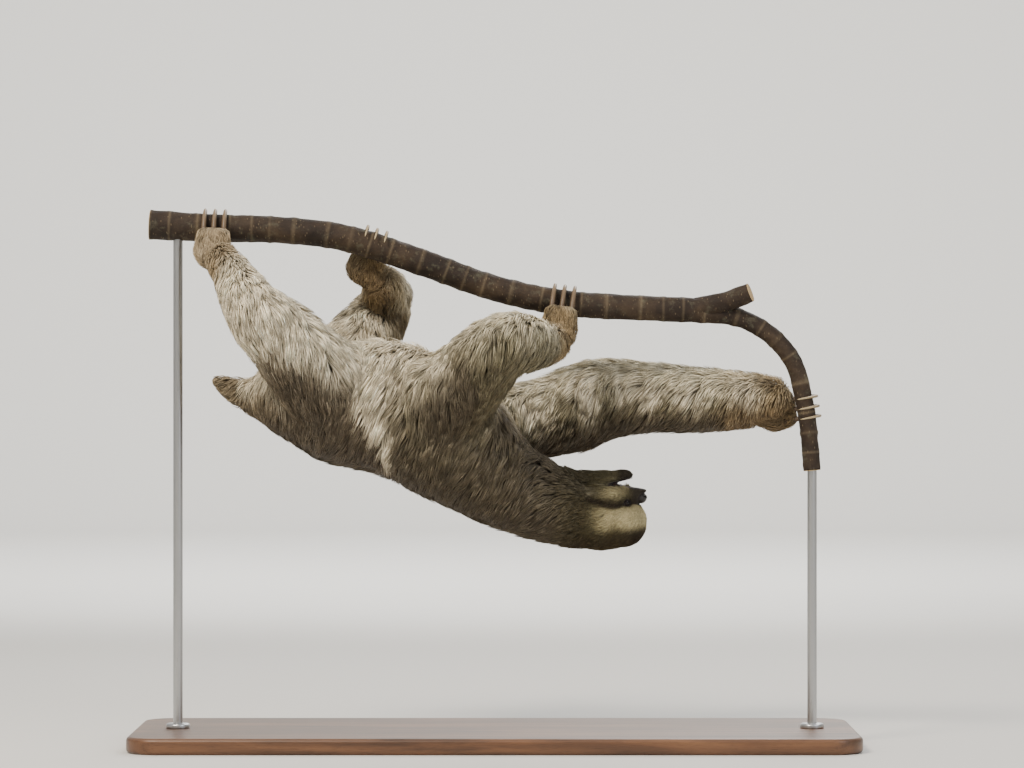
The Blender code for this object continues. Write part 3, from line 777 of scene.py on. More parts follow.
def markings(points, normals):
    # the coat's colour at a place on the skin, in linear RGB, the same for skin and hair: its own pattern,
    # with painted sunlight and painted shade laid over the body
    colour = np.tile(linear(fur["grey"]), (len(points), 1))

    def paint(name, *shares):
        nonlocal colour
        share = np.clip(math.prod(shares), 0, 1)[:, None]
        colour = colour * (1 - share) + linear(fur[name]) * share

    spine, _, leftArm, rightArm, leftLeg, rightLeg = belonging(points)[0]
    up = normals[:, 2]
    x, y, z = points.T
    mottle = ripple(points, 0.055, 3)
    side = fade(-0.128, -0.102, x + 0.006 * mottle)  # 0 on the hips, 1 from the ribs to the shoulder
    # painted sunlight: a fan of cream runs down the flank from the hip, and ends in points that lie with the
    # hair
    across = np.column_stack([0.92 * x - 0.39 * z, 0.2 * y, 0.10 * z])
    fringe = ripple(across, 0.010, 31) + 0.7 * ripple(across, 0.004, 33)
    fan = fade(-0.012, 0.012, z - np.interp(x, sunlitFanEdge["x"], sunlitFanEdge["z"]) + 0.008 * fringe) * (1 - side)
    # darker and browner along the back and the shoulder, paler towards the belly: partly the coat's own tone,
    # partly painted shade on the downward faces and the shoulder and painted light on the upward belly
    paint("dark", 0.72, spine, fade(0.55, -0.60, up + 0.25 * mottle))
    paint("olive", 0.65, spine, side, fade(0.8, 0.2, up))
    paint("dark", 0.74, spine, side, fade(0.95, 0.25, up + 0.3 * mottle))
    paint("cream", 0.85, spine, fade(0.45, 0.95, up + 0.20 * mottle), fade(0.03, -0.07, x))
    # the legs are the palest; the cream, strongest on their upper faces, is partly painted light, and their
    # darker undersides are painted shade
    for leg in (leftLeg, rightLeg):
        paint("cream", 0.80, leg, fade(-0.8, 0.5, up + 0.5 * mottle))
        paint("dark", 0.50, leg, fade(0.0, -0.8, up))
    # the fan's painted sunlight in cream, over the flank and the top of the near thigh
    paint("cream", 0.96, np.maximum(spine, (0.5 + 0.5 * fade(0.57, 0.52, z)) * leftLeg), fan)
    # painted shade: under the fan the rump and the backs of the thighs are the darkest
    rump = spine + leftLeg + rightLeg
    paint("dark", 0.66, rump, 1 - side, 1 - fan, fade(0.85, 0.35, up), fade(-0.30, -0.24, x))
    # painted light and shade: cream along the tops of the arms, browner and darker below; a little green on
    # the tops, partly algae and partly painted light through leaves
    streaks = ripple(points, 0.018, 37)
    for arm, reach, low in ((leftArm, 0.86, 0.74), (rightArm, 0.88, 0.42)):
        paint("olive", 0.48, arm, fade(0.8, 0.1, up))
        paint("cream", reach, arm, fade(-0.20, 0.80, up + 0.30 * mottle + 0.15 * streaks))
        paint("green", 0.20, arm, fade(0.0, 0.8, up - 0.6 * mottle))
        paint("dark", 0.76, arm, fade(low, low - 0.9, up + 0.15 * mottle))
    # past the left elbow the coat is olive brown
    paint("olive", 0.60, leftArm, fade(-0.035, 0.000, x + 0.010 * mottle), fade(0.98, 0.60, up))
    # the neck and throat are a warm dark brown
    paint("throat", 0.75, fade(0.005, 0.055, x), spine)
    for grip in grips.values():
        far = norm(points - np.array(grip["digits"][1][1][:3]))
        paint("golden", 0.72, fade(0.068, 0.022, far + 0.008 * mottle))
    # the face: a pale band over the brow, a dark stripe back from each eye, dark muzzle, chin and fringe
    lx, ly, lz = toHead(points).T
    onHead = headShare(points)
    paint("olive", 0.55, onHead)
    paint("throat", 0.55, onHead, fade(0.010, -0.022, lx))
    paint("dark", 0.55, onHead, fade(0.016, 0.034, lz + 0.2 * lx))
    band = fade(-0.011, -0.003, lz) * fade(0.021, 0.010, lz + 0.003 * mottle)
    paint("face", 0.92, onHead, band, fade(-0.010, 0.016, lx + 0.004 * mottle))
    paint("cheek", 0.50, onHead, bell(np.hypot((lx + 0.008) / 0.016, (lz + 0.0245) / 0.0065)))
    paint("face", 0.55, onHead, bell(np.hypot((lx - 0.020) / 0.012, (lz + 0.024) / 0.007)))
    # the stripe runs from the eye back and down to the cheek, and widens around the eye
    along = np.clip((0.027 - lx) / 0.036, -0.3, 1)
    stripe = bell((lz + 0.0105 + 0.0048 * along) / (0.0052 - 0.0014 * along))
    stripe *= fade(-0.016, -0.004, lx) * fade(0.044, 0.036, lx) * fade(0.006, 0.012, np.abs(ly))
    paint("mask", 0.92, onHead, stripe)
    paint("mask", 0.75, onHead, fade(0.030, 0.046, lx), fade(0.010, 0.020, lz))
    muzzle = fade(0.030, 0.042, lx - 0.4 * np.maximum(lz + 0.012, 0))
    paint("muzzle", 0.90, onHead, muzzle, fade(-0.004, -0.012, lz))
    paint("muzzle", 0.85, onHead, fade(0.014, 0.026, lx), fade(-0.030, -0.038, lz))
    return colour * (1 + 0.07 * ripple(points, 0.02, 5)[:, None])


def bareShare(points):
    # where the skin itself shows: lids, lips, the inside of the mouth and the wings of the nose
    local = toHead(points)
    x, _, z = local.T
    bare = np.zeros(len(points))
    for centre, out, along, up in eyes.values():
        v = local - centre
        m = lidMeasure(v @ along, v @ up)
        bare = np.maximum(bare, fade(0.0056, 0.0044, m) * (v @ out > -0.002))
    cx = head["mouthCorner"][0]
    upper, lower = mouthEdges(x)
    inMouth = (z < upper + 0.0020) & (z > lower - 0.0020)
    bare = np.maximum(bare, inMouth * fade(cx - 0.002, cx + 0.002, x))
    centre, radii = head["nose"]
    q = norm((local - centre) / (np.array(radii) + 0.0012))
    return np.maximum(bare, fade(1.12, 0.98, q))


def mouthDepth(points):
    # 1 on the walls inside the mouth, well behind the lips
    x, y, z = toHead(points).T
    upper, lower = mouthEdges(x)
    inside = fade(0.0012, 0.0, z - upper) * fade(0.0012, 0.0, lower - z)
    return inside * fade(0.95, 0.80, np.hypot((x - 0.008) / 0.034, y / 0.017)) * fade(0.004, 0.010, x)


# Bare skin: dark, slightly damp hide on the face; elsewhere the dense dark underfur that shows between locks.
skinLook = {"underfur": 0.55, "bare": "#1f1714", "mouth": "#4b2b27"}
skinColour = markings(skinPoints, skinNormals) * skinLook["underfur"]
for name, share in (("bare", bareShare(skinPoints)), ("mouth", mouthDepth(skinPoints))):
    skinColour = skinColour * (1 - share[:, None]) + linear(skinLook[name]) * share[:, None]
setColour(skin.data, "markings", skinColour)
hide, tree, shader = newMaterial("hideUnderFur", {"Roughness": 0.62, "Specular IOR Level": 0.35, "IOR": 1.45})
tint = addNode(tree, "Attribute", {"attribute_name": "markings"})
place = addNode(tree, "TexCoord", {}, "Object")
# pores and fine creases of the hide, about 1 mm across
pores = addNode(tree, "TexNoise", {"Scale": 900.0, "Detail": 3.0, "Vector": place})
shade = addNode(tree, "MapRange", {"To Min": 0.75, "To Max": 1.2, "Value": pores})
toned = addNode(tree, "VectorMath", {"operation": "MULTIPLY", 0: tint, 1: shade})
relief = addNode(tree, "Bump", {"Strength": 0.35, "Distance": 0.0004, "Height": pores})
fill(shader, {"Base Color": toned, "Normal": relief})
limbNodes = (("upper_arm", "forearm", "hand"), ("thigh", "shin", "foot"))
fleshNodes = ["head", "lower_jaw", "neck", "trunk", "tail"]
fleshNodes += [f"{side}_{node}" for nodes in limbNodes for side in ("left", "right") for node in nodes]
placePiece(skin, hide, "coat")
report("skin coloured")


coat = {
    "tufts": {"body": 83000, "head": 28000, "hands": 12000},
    "pieceTufts": 16000,
    "width": 0.0019,
    "faceWidth": 0.00085,
    "fullLength": 0.024,  # from here down to fineLength, shorter hair is finer
    "fineLength": 0.008,
    "lengths": (0.72, 1.12),  # the spread of length, and of how far a tuft stands off the skin
    "heights": (0.60, 1.10),
    "stray": 0.12,  # how far a tuft's way strays from the flow
    "clump": 15,  # one lock gathers about this many tufts
    "lockReach": 0.012,
    "lockPull": (0.10, 0.42, 0.66),
    "depthReach": 0.03,  # how far out a solid's surface counts, and how much it may change the planned depth
    "depthLimits": (0.55, 1.5),
    "rootDepth": 0.0008,
    "section": ((-0.5, -0.16), (0.5, -0.16), (0, 0.34)),  # a ring's corners, across and up, in tuft widths
    "taper": 0.78,  # the second ring's width
    "rings": (0.22, 0.62, 1.0),  # the places of a tuft's points along it, and how far they have risen there
    "rise": (0.42, 0.86, 1.0),
    "sag": 0.10,
    "patch": 0.003,
    # where the hair parts there is more of it, shorter, and it lies every way
    "partingExtra": 2.5,
    "partingShorter": 0.25,
    "partingStray": 7,
    "noseExtra": 1.9,
    "noseReach": 0.030,
    "tailEnd": 0.68,  # from here along the tail the hair leaves the skin's way
    "tailFree": 0.55,
    # the spread of tone from lock to lock and from tuft to tuft, and the chance and change of the odd ones
    "lockTone": 0.15,
    "tuftTone": 0.10,
    "oddTufts": ((0.06, 1.28), (0.08, 0.68)),
    "tipTone": 1.10,
    "tipCream": 0.12,
    "rootTone": 0.46,
    "widths": (0.75, 1.25),
}
# How much the hair runs back to the root of its part, beside its fall of 1; on the tail it runs to the tip.
flowPull = {"spine": 0.42, "tail": -0.9, "leftArm": 0.5, "rightArm": 0.55, "leftLeg": 0.45, "rightLeg": 0.45}
flowPlan = {
    "lean": 1.1,  # how much more it runs back on the neck and along the top of a limb
    "part": 0.8,  # how strongly it leaves the middle of the belly, and how soon
    "partWidth": 0.030,
    "digits": 1.2,  # towards the claws, back over the head, and away from the eyes
    "head": 1.1,
    "eyes": 2.2,
    "swirl": 0.17,
}
down = np.array([0, 0, -1.0])


def fleshTree():
    # the solids' outer surface, which the tips of the coat reach
    shapes = [readMesh(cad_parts[name].data) for name in fleshNodes]
    points, faces = stacked([(p, f.tolist()) for p, f in shapes])
    return BVHTree.FromPolygons(points.tolist(), faces)


def scatter(count, weight):
    # random places on the skin, more of them where the weight is high: points, normals and their triangles
    a, b, c = (skinPoints[skinFaces[:, k]] for k in range(3))
    area = norm(np.cross(b - a, c - a)) * weight
    edges = np.cumsum(area)
    picked = np.searchsorted(edges, (np.arange(count) + rng.random(count)) / count * edges[-1])
    picked = np.minimum(picked, len(area) - 1)
    r, s = np.sqrt(rng.random(count))[:, None], rng.random(count)[:, None]
    shares = (1 - r, r * (1 - s), r * s)
    corners = skinFaces[picked].T
    where, normals = (
        sum(values[corner] * share for corner, share in zip(corners, shares))
        for values in (skinPoints, skinNormals)
    )
    return where, unit(normals), picked


def hairFlow(points, normals):
    # the way the hair lies: down with gravity and towards the tail or the limb's root, back over the head,
    # and towards the claws on hands and feet, all laid in the skin's own plane
    shares, places = belonging(points)
    flow = np.zeros_like(points)
    for (name, path), share, place in zip(paths.items(), shares, places):
        way = rowAt(path, place)[1]
        pull = np.full(len(points), flowPull[name])
        if name == "spine":  # on the neck the hair lies back more than down
            pull += flowPlan["lean"] * fade(0.00, 0.09, points[:, 0])
        elif name != "tail":  # along the top of a limb it lies towards the limb's root
            pull += flowPlan["lean"] * fade(0.35, 0.90, normals[:, 2])
        flow += share[:, None] * (down - way * pull[:, None])
    # the hair parts along the middle of the belly
    parting = fade(0.55, 0.95, normals[:, 2]) * shares[list(paths).index("spine")]
    flow[:, 1] += flowPlan["part"] * np.tanh(points[:, 1] / flowPlan["partWidth"]) * parting
    hands = handShare(points)[:, None]
    distal = np.zeros_like(points)
    for grip in grips.values():
        near = norm(points - grip["centre"]) < 0.09
        end = grip["centre"] + grip["side"] * grip["curve"] + grip["over"] * (grip["drop"] + 0.012)
        distal[near] = unit(end - points[near])
    flow = flow * (1 - hands) + distal * flowPlan["digits"] * hands
    local = toHead(points)
    onHead = headShare(points)[:, None]
    backwards = unit(local - (0.052, 0, -0.016)) + np.array([-0.45, 0, 0.10])
    flow = flow * (1 - onHead) + (backwards @ headTurn.T) * flowPlan["head"] * onHead
    for centre, out, _, _ in eyes.values():  # and away from each eye
        v = local - centre
        v = v - (v @ out)[:, None] * out
        far = norm(v)[:, None]
        flow += (unit(v) @ headTurn.T) * flowPlan["eyes"] * fade(0.012, 0.004, far) * onHead
    flow = flow + np.cross(normals, flow) * ripple(points, 0.055, 21)[:, None] * flowPlan["swirl"]
    flow -= (flow * normals).sum(1, keepdims=True) * normals
    return unit(flow)


facePlan = {
    # distance from the muzzle's tip, the hair's length there, and the coat's depth
    "far": (0.008, 0.018, 0.032, 0.050, 0.075, 0.095),
    "length": (0.0022, 0.0042, 0.0075, 0.014, 0.022, 0.026),
    "depth": (0.0010, 0.0020, 0.0036, 0.0062, 0.0080, 0.0080),
    "chin": (0.0045, 0.0022),
    "lids": (0.0026, 0.0011),
}


def hairMeasures(points):
    # hair length and coat depth at each place, from the rows of the parts and from the face's own plan
    shares, places = belonging(points)
    local = toHead(points)
    far = norm(local - head["muzzleTip"])
    chin = fade(-0.034, -0.042, local[:, 2]) * fade(0.000, 0.014, local[:, 0])
    lids = [fade(0.014, 0.007, norm(local - centre)) for centre, *_ in eyes.values()]
    hands, onHead = handShare(points), headShare(points)
    wanted = ((5, "length", claw["digitHair"]), (4, "depth", claw["digitCoat"]))
    found = []
    for k, (column, face, hand) in enumerate(wanted):
        value = np.zeros(len(points))
        for path, share, place in zip(paths.values(), shares, places):
            value += share * np.interp(place, np.arange(len(path)), path[:, column])
        value = value * (1 - hands) + hand * hands
        faceValue = np.interp(far, facePlan["far"], facePlan[face])
        for name, near in (("chin", chin), ("lids", lids[0]), ("lids", lids[1])):
            faceValue = faceValue * (1 - near) + facePlan[name][k] * near
        found.append(value * (1 - onHead) + faceValue * onHead)
    return found


def snap(points, tree):
    # nearest places on a surface, with its normals and its faces
    found = [tree.find_nearest(p)[:3] for p in points]
    where, normals, faces = zip(*found)
    return np.array(where), np.array(normals), np.array(faces)


def makeRoots(parted):
    # where the tufts grow: densest round the nose and where the hair parts, none on bare skin
    centres = skinPoints[skinFaces].mean(1)
    onHead, onHand = headShare(centres), handShare(centres)
    far = norm(toHead(centres) - head["muzzleTip"])
    furred = fade(0.7, 0.25, bareShare(centres)) * (1 + coat["partingExtra"] * parted)
    groups = (
        ("body", furred * (1 - onHead) * (1 - onHand)),
        ("head", furred * onHead * (0.35 + coat["noseExtra"] * bell(far / coat["noseReach"]))),
        ("hands", furred * onHand),
    )
    scale = 1.0
    found = [scatter(int(coat["tufts"][name] * scale), weight) for name, weight in groups]
    return [np.concatenate(values) for values in zip(*found)]


def coatDepth(places, ups, outer):
    # the planned depth, brought to the solids' surface where that is near
    _, depth = hairMeasures(places)
    low, high = (depth * limit for limit in coat["depthLimits"])
    for i, (place, up) in enumerate(zip(places, ups)):
        far = outer.ray_cast(place + up * 0.0002, up, coat["depthReach"])[3]
        if far is not None:
            depth[i] = min(max(far, low[i]), high[i])
    return depth


def growCurves(roots, normals, faces, field, parted):
    # each tuft's centre line: it runs over the skin with the flow, and rises to the coat's depth
    skinTree = BVHTree.FromPolygons(skinPoints.tolist(), skinFaces.tolist())
    outer = fleshTree()
    length = hairMeasures(roots)[0] * rng.uniform(*coat["lengths"], len(roots))
    tall = rng.uniform(*coat["heights"], len(roots))
    parting = parted[faces]
    # past the end of the tail the hair runs straight on
    onTail, row = (measure[list(paths).index("tail")] for measure in belonging(roots))
    free = coat["tailFree"] * onTail * fade(coat["tailEnd"], 1.00, row / (len(paths["tail"]) - 1))
    here, up = roots, normals
    last, lines = 0.0, []
    jitter = rng.normal(0, coat["stray"], (len(roots), 1)) * (1 + coat["partingStray"] * parting[:, None])
    length = length * (1 - coat["partingShorter"] * parting)
    for t, rise in zip(coat["rings"], coat["rise"]):
        way = field[skinFaces[faces]].mean(1)
        way = unit(way - (way * up).sum(1, keepdims=True) * up)
        way = unit(way + np.cross(up, way) * jitter)
        step = here + way * (length * (t - last))[:, None]
        here, faceUp, faces = snap(step, skinTree)
        here = here + (step - here) * free[:, None]
        up = unit(up * 0.35 + faceUp * 0.65)
        depth = coatDepth(here, up, outer)
        sag = np.clip(-up[:, 2], 0, 1) * depth * coat["sag"] * t
        lines.append(here + up * (depth * tall * rise)[:, None] + down * sag[:, None])
        last = t
    return np.stack(lines, 1), length, parting


def gatherLocks(roots, normals, lines, length, parting):
    # tufts lean towards the nearest lock's middle, more towards the tip, so the coat hangs in locks
    middles = rng.choice(len(roots), math.ceil(len(roots) / coat["clump"]), replace=False)
    tree = KDTree(len(middles))
    for i, m in enumerate(middles):
        tree.insert(roots[m], i)
    tree.balance()
    own = np.array([tree.find(p)[1] for p in roots])
    middle = middles[own]
    close = norm(roots - roots[middle]) < coat["lockReach"]
    same = (normals * normals[middle]).sum(1) > 0.6
    loose = np.clip(length / 0.036, 0.12, 1) * (1 - 0.7 * parting)  # short hair gathers less
    pull = ((close & same) * loose)[:, None, None] * np.array(coat["lockPull"])[None, :, None]
    return lines + (lines[middle] - lines) * pull, own


# A tuft is a closed three-sided spindle of 8 points: the root, two rings of three, and the tip.
# It has three faces at the root, three between the rings and three at the tip.
# Each corner of a face is (point, share round the tuft).
tuftAlong = np.repeat([0, *coat["rings"]], [1, 3, 3, 1])
lowFaces, middleFaces, tipFaces = [], [], []
for j in range(3):
    k, left, middle, right = (j + 1) % 3, j / 3, (j + 0.5) / 3, (j + 1) / 3
    lowFaces.append(((0, middle), (1 + k, right), (1 + j, left)))
    middleFaces.append(((1 + j, left), (1 + k, right), (4 + k, right), (4 + j, left)))
    tipFaces.append(((4 + j, left), (4 + k, right), (7, middle)))
tuftFaces = lowFaces + middleFaces + tipFaces
tuftStarts = np.cumsum([0] + [len(face) for face in tuftFaces[:-1]])
tuftCorners = np.array([point for face in tuftFaces for point, _ in face])
tuftAcross = np.array([share for face in tuftFaces for _, share in face])


def tuftMesh(name, roots, normals, lines, widths, root, tip, tone, patches, strands):
    # all the tufts of one piece, with each tuft's rings set square to its own line
    n = len(roots)
    ring1, ring2, end = lines[:, 0], lines[:, 1], lines[:, 2]
    points = np.empty((n, 8, 3))
    points[:, 0] = roots - normals * coat["rootDepth"]
    points[:, 7] = end
    rings = ((ring1, ring2 - roots, 1.0), (ring2, end - ring1, coat["taper"]))
    for k, (centre, way, share) in enumerate(rings):
        way = unit(way)
        side = unit(np.cross(way, normals))
        up = np.cross(side, way)
        w = (widths * share)[:, None]
        for j, (across, high) in enumerate(coat["section"]):
            points[:, 1 + 3 * k + j] = centre + side * w * across + up * w * high
    count = len(tuftCorners)
    corners = np.arange(n)[:, None] * 8 + tuftCorners
    starts = np.arange(n)[:, None] * count + tuftStarts
    mesh = bpy.data.meshes.new(name)
    mesh.vertices.add(n * 8)
    mesh.vertices.foreach_set("co", points.astype(np.float32).ravel())
    mesh.loops.add(corners.size)
    mesh.loops.foreach_set("vertex_index", corners.astype(np.int32).ravel())
    mesh.polygons.add(starts.size)
    mesh.polygons.foreach_set("loop_start", starts.astype(np.int32).ravel())
    mesh.update(calc_edges=True)
    mesh.validate()
    # the hair's colour runs from a dark root to a paler tip
    share = tuftAlong[None, :, None] ** 0.8
    colour = root[:, None] * (1 - share) + tip[:, None] * share
    setColour(mesh, "markings", np.clip(colour * tone[:, None, None], 0, 1).reshape(-1, 3))
    along = tuftAlong[tuftCorners]
    square = np.stack([tuftAcross, along], -1)[None]
    setUv(mesh, "OFBake", patches[:, None] + (square - 0.5) * coat["patch"])
    strand = np.repeat(square, n, 0)
    strand[..., 0] += strands[:, None]
    setUv(mesh, "strand", strand)
    mesh.uv_layers["OFBake"].active = True
    mesh.uv_layers["OFBake"].active_render = True
    mesh.shade_smooth()
    return added(name, mesh)


def unwrap(points, path):
    # the skin's own unwrap: along the part's middle line, and round it from its underside
    place = closestOnPath(points, path)[1]
    centre, way = rowAt(path, place)
    side = unit(np.cross(way, [0.02, 0.05, 1.0]))
    up = np.cross(side, way)
    v = points - centre
    angle = np.arctan2((v * side).sum(1), (v * up).sum(1)) / (2 * math.pi) + 0.5
    return 0.01 + 0.98 * np.column_stack([place / (len(path) - 1), angle])


def unwrapHead(points):
    # the head's unwrap: longitude and latitude about its own length
    local = toHead(points) - (0.0, 0, -0.004)
    angle = np.arctan2(local[:, 1], local[:, 2]) / (2 * math.pi) + 0.5
    lean = np.arccos(np.clip(unit(local)[:, 0], -1, 1)) / math.pi
    return 0.01 + 0.98 * np.column_stack([lean, angle])


# Sloth hair: coarse, dry and matt, each hair grooved, in locks of darker and paler hairs.
hair, tree, shader = newMaterial("coarseHair", {"Roughness": 0.68, "Specular IOR Level": 0.22, "IOR": 1.55})
tint = addNode(tree, "Attribute", {"attribute_name": "markings"})
strandUv = addNode(tree, "UVMap", {"uv_map": "strand"})
# single hairs, drawn about 0.25 mm wide so that they show, run the whole length of a tuft
stretch = addNode(tree, "Mapping", {"Scale": (9.0, 0.9, 1.0), "Vector": strandUv})
hairNoise = {"noise_dimensions": "2D", "Scale": 1.0, "Detail": 2.0, "Vector": stretch}
hairs = addNode(tree, "TexNoise", hairNoise)
hairRange = {"From Min": 0.25, "From Max": 0.75, "To Min": 0.62, "To Max": 1.42, "Value": hairs}
shade = addNode(tree, "MapRange", hairRange)
toned = addNode(tree, "VectorMath", {"operation": "MULTIPLY", 0: tint, 1: shade})
relief = addNode(tree, "Bump", {"Strength": 0.5, "Distance": 0.0003, "Height": hairs})
fill(shader, {"Base Color": toned, "Normal": relief})


def makeCoat():
    # the flow, evened out over the skin; where it parts it comes out short, and the hair there lies every way
    field = relax(hairFlow(skinPoints, skinNormals), skinFaces, 10)
    parted = 1 - fade(0.55, 0.93, norm(field[skinFaces].mean(1)))
    roots, normals, faces = makeRoots(parted)
    lines, length, parting = growCurves(roots, normals, faces, field, parted)
    report("tufts laid over the skin")
    lines, lock = gatherLocks(roots, normals, lines, length, parting)
    base = markings(roots, normals)
    shares, _ = belonging(roots)
    onHead = headShare(roots)
    lockTone = np.exp(rng.normal(0, coat["lockTone"], lock.max() + 1))[lock]
    tone = lockTone ** (1 - 0.75 * onHead) * np.exp(rng.normal(0, coat["tuftTone"], len(roots)))
    # a few tufts are nearly white or nearly black, as in the streaky coat
    for chance, change in coat["oddTufts"]:
        tone[rng.random(len(roots)) < chance * (1 - onHead)] *= change
    tip = base * coat["tipTone"] + (linear(fur["cream"]) - base) * coat["tipCream"] * (1 - onHead[:, None])
    root = base * coat["rootTone"] + base.mean(1, keepdims=True) * 0.02
    fine = np.clip((coat["fullLength"] - length) / (coat["fullLength"] - coat["fineLength"]), 0, 1)
    widths = coat["width"] * (1 - fine) + coat["faceWidth"] * fine
    widths *= rng.uniform(*coat["widths"], len(roots))
    strands = np.floor(rng.random(len(roots)) * 400)
    owner = np.where(onHead > 0.5, -1, shares.argmax(0))
    total = 0
    for part, name in enumerate(["head", *paths], -1):
        mine = np.flatnonzero(owner == part)
        if not len(mine):
            continue
        mine = mine[np.argsort(roots[mine, 0])]
        count = math.ceil(len(mine) / coat["pieceTufts"])
        patches = unwrapHead(roots) if part < 0 else unwrap(roots, paths[name])
        for number, some in enumerate(np.array_split(mine, count)):
            label = f"coat{name[0].upper()}{name[1:]}" + (f"{number + 1}" if count > 1 else "")
            values = (roots, normals, lines, widths, root, tip, tone, patches, strands)
            placePiece(tuftMesh(label, *(value[some] for value in values)), hair, "coat")
            total += 1
    report(f"coat: {len(roots)} tufts in {total} pieces")


makeCoat()
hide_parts(*fleshNodes)


# Wet cornea over a dark iris: nearly a mirror at the highlight, deep brown elsewhere.
wetEye, tree, shader = newMaterial("wetEye", {"Roughness": 0.05, "IOR": 1.36, "Specular IOR Level": 0.45})
fill(shader, {"Base Color": addNode(tree, "Attribute", {"attribute_name": "tone"})})
# The eye: a wet dark-brown ball with a round pupil and a clear bulge in front.
eyeLook = {
    "iris": 0.62,  # the angles from the middle at which iris and pupil end
    "pupil": 0.27,
    "bulge": 0.0005,
    "irisTone": "#1f130b",
    "pupilTone": "#050404",
    "rimTone": "#0e0907",
}


def makeEye(sign, name, node):
    # rings from the pupil to the back of the ball: radius + bulge x a smooth cap about the front
    centre, *ways = eyes[sign]
    sinA, cosA, cosB, sinB = globe(40, 48, 0.01)
    r = head["eyeRadius"] + eyeLook["bulge"] * fade(0.75, 0.35, np.arccos(cosA))
    shape = np.stack([r * cosA, r * sinA * cosB, r * sinA * sinB], -1) @ np.array(ways)
    points, faces = capped(shape + centre)
    eyeball = solid(name, (fromHead(points), faces))
    front, along, up = (unit(points - centre) @ way for way in ways)
    lean, turn = np.arccos(np.clip(front, -1, 1)), np.arctan2(up, along)
    streak = 0.5 + 0.5 * np.sin(turn * 23 + 2 * np.sin(turn * 5))
    iris = linear(eyeLook["irisTone"]) * (0.7 + 0.6 * streak[:, None])
    colour = np.where((lean < eyeLook["pupil"])[:, None], linear(eyeLook["pupilTone"]), iris)
    edge = fade(eyeLook["iris"] - 0.10, eyeLook["iris"] + 0.02, lean)[:, None]
    setColour(eyeball.data, "tone", colour * (1 - edge) + linear(eyeLook["rimTone"]) * edge)
    placePiece(eyeball, wetEye, "eye", node)


makeEye(1, "eyeLeft", "left_eye")
makeEye(-1, "eyeRight", "right_eye")

# The nose pad: black hairless skin, pebbled and a little damp.
noseSkinLook = {"Roughness": 0.50, "IOR": 1.45, "Coat Weight": 0.12, "Coat Roughness": 0.40}
noseSkin, tree, shader = newMaterial("noseSkin", noseSkinLook)
tint = addNode(tree, "Attribute", {"attribute_name": "tone"})
place = addNode(tree, "TexCoord", {}, "Object")
# pebbles about 0.7 mm across
pebbles = addNode(tree, "TexVoronoi", {"Scale": 1500.0, "Vector": place})
relief = addNode(tree, "Bump", {"Strength": 0.45, "Distance": 0.0002, "invert": True, "Height": pebbles})
fill(shader, {"Base Color": tint, "Normal": relief})
nosePlan = {
    "tone": "#17120f",
    "nostril": (0.47, -0.18),  # where it lies, out and up, and where its slit does, all in nose radii
    "slit": (0.72, -0.34),
    "holeDepth": 0.42,
    "slitDepth": 0.16,
    "wingHeight": 0.07,
    "grooveDepth": 0.10,
}


def makeNose():
    # an ellipsoid with two comma-shaped nostrils pressed in, a groove between them, and soft wings
    centre, radii = (np.array(v) for v in head["nose"])
    sinA, cosA, cosB, sinB = globe(90, 110, 0.01)
    # the poles lie across the nose, so that the front is an even grid
    points, faces = capped(np.stack([sinA * cosB, cosA, sinA * sinB], -1))
    x, y, z = points.T
    front = fade(0.0, 0.5, x)
    press = np.zeros(len(points))
    for sign in (-1, 1):
        out = sign * y
        dy, dz = out - nosePlan["nostril"][0], z - nosePlan["nostril"][1]
        dz = dz + 0.30 * dy
        hole = np.exp(-(np.hypot(dy / 0.20, dz / 0.15) ** 3))
        slit = bell(np.hypot((out - nosePlan["slit"][0]) / 0.20, (z - nosePlan["slit"][1]) / 0.07))
        wing = bell((np.hypot(dy / 0.30, dz / 0.25) - 1) / 0.28)
        rise = nosePlan["wingHeight"] * wing
        press += front * (nosePlan["holeDepth"] * hole + nosePlan["slitDepth"] * slit - rise)
    press += nosePlan["grooveDepth"] * front * bell(y / 0.05) * fade(0.2, -0.2, z)
    obj = solid("noseLeather", (fromHead(points * (1 - press)[:, None] * radii + centre), faces))
    # painted shade: darker where the nose is pressed in, in the nostrils, their slits and the groove
    dark = 1 - 0.75 * np.clip(press * 2.2, 0, 1)
    setColour(obj.data, "tone", linear(nosePlan["tone"]) * dark[:, None])
    placePiece(obj, noseSkin, "nose_skin", "nose")


makeNose()
report("eyes and nose")


# Horn: pinkish brown at the root, paler and clearer towards the tip, with lengthwise lines about 1 mm apart.
horn, tree, shader = newMaterial("clawHorn", {"Roughness": 0.44, "IOR": 1.54, "Specular IOR Level": 0.4})
clawUv = addNode(tree, "UVMap", {"uv_map": "OFBake"})
length = addNode(tree, "SeparateXYZ", {"Vector": clawUv}, "Y")
hornStops = ((0.0, "#46372a"), (0.30, "#68553f"), (0.70, "#8f7a5a"), (1.0, "#bcaa83"))
hornTone = addNode(tree, "ValToRGB", {"stops": hornStops, "Fac": length})
lengthwise = addNode(tree, "Mapping", {"Scale": (26.0, 2.0, 1.0), "Vector": clawUv})
growth = addNode(tree, "TexNoise", {"Scale": 1.0, "Detail": 3.0, "Vector": lengthwise})
growthRange = {"From Min": 0.30, "From Max": 0.70, "To Min": 0.60, "To Max": 1.35, "Value": growth}
shade = addNode(tree, "MapRange", growthRange)
toned = addNode(tree, "VectorMath", {"operation": "MULTIPLY", 0: hornTone, 1: shade})
relief = addNode(tree, "Bump", {"Strength": 0.3, "Distance": 0.0002, "Height": growth})
fill(shader, {"Base Color": toned, "Normal": relief})


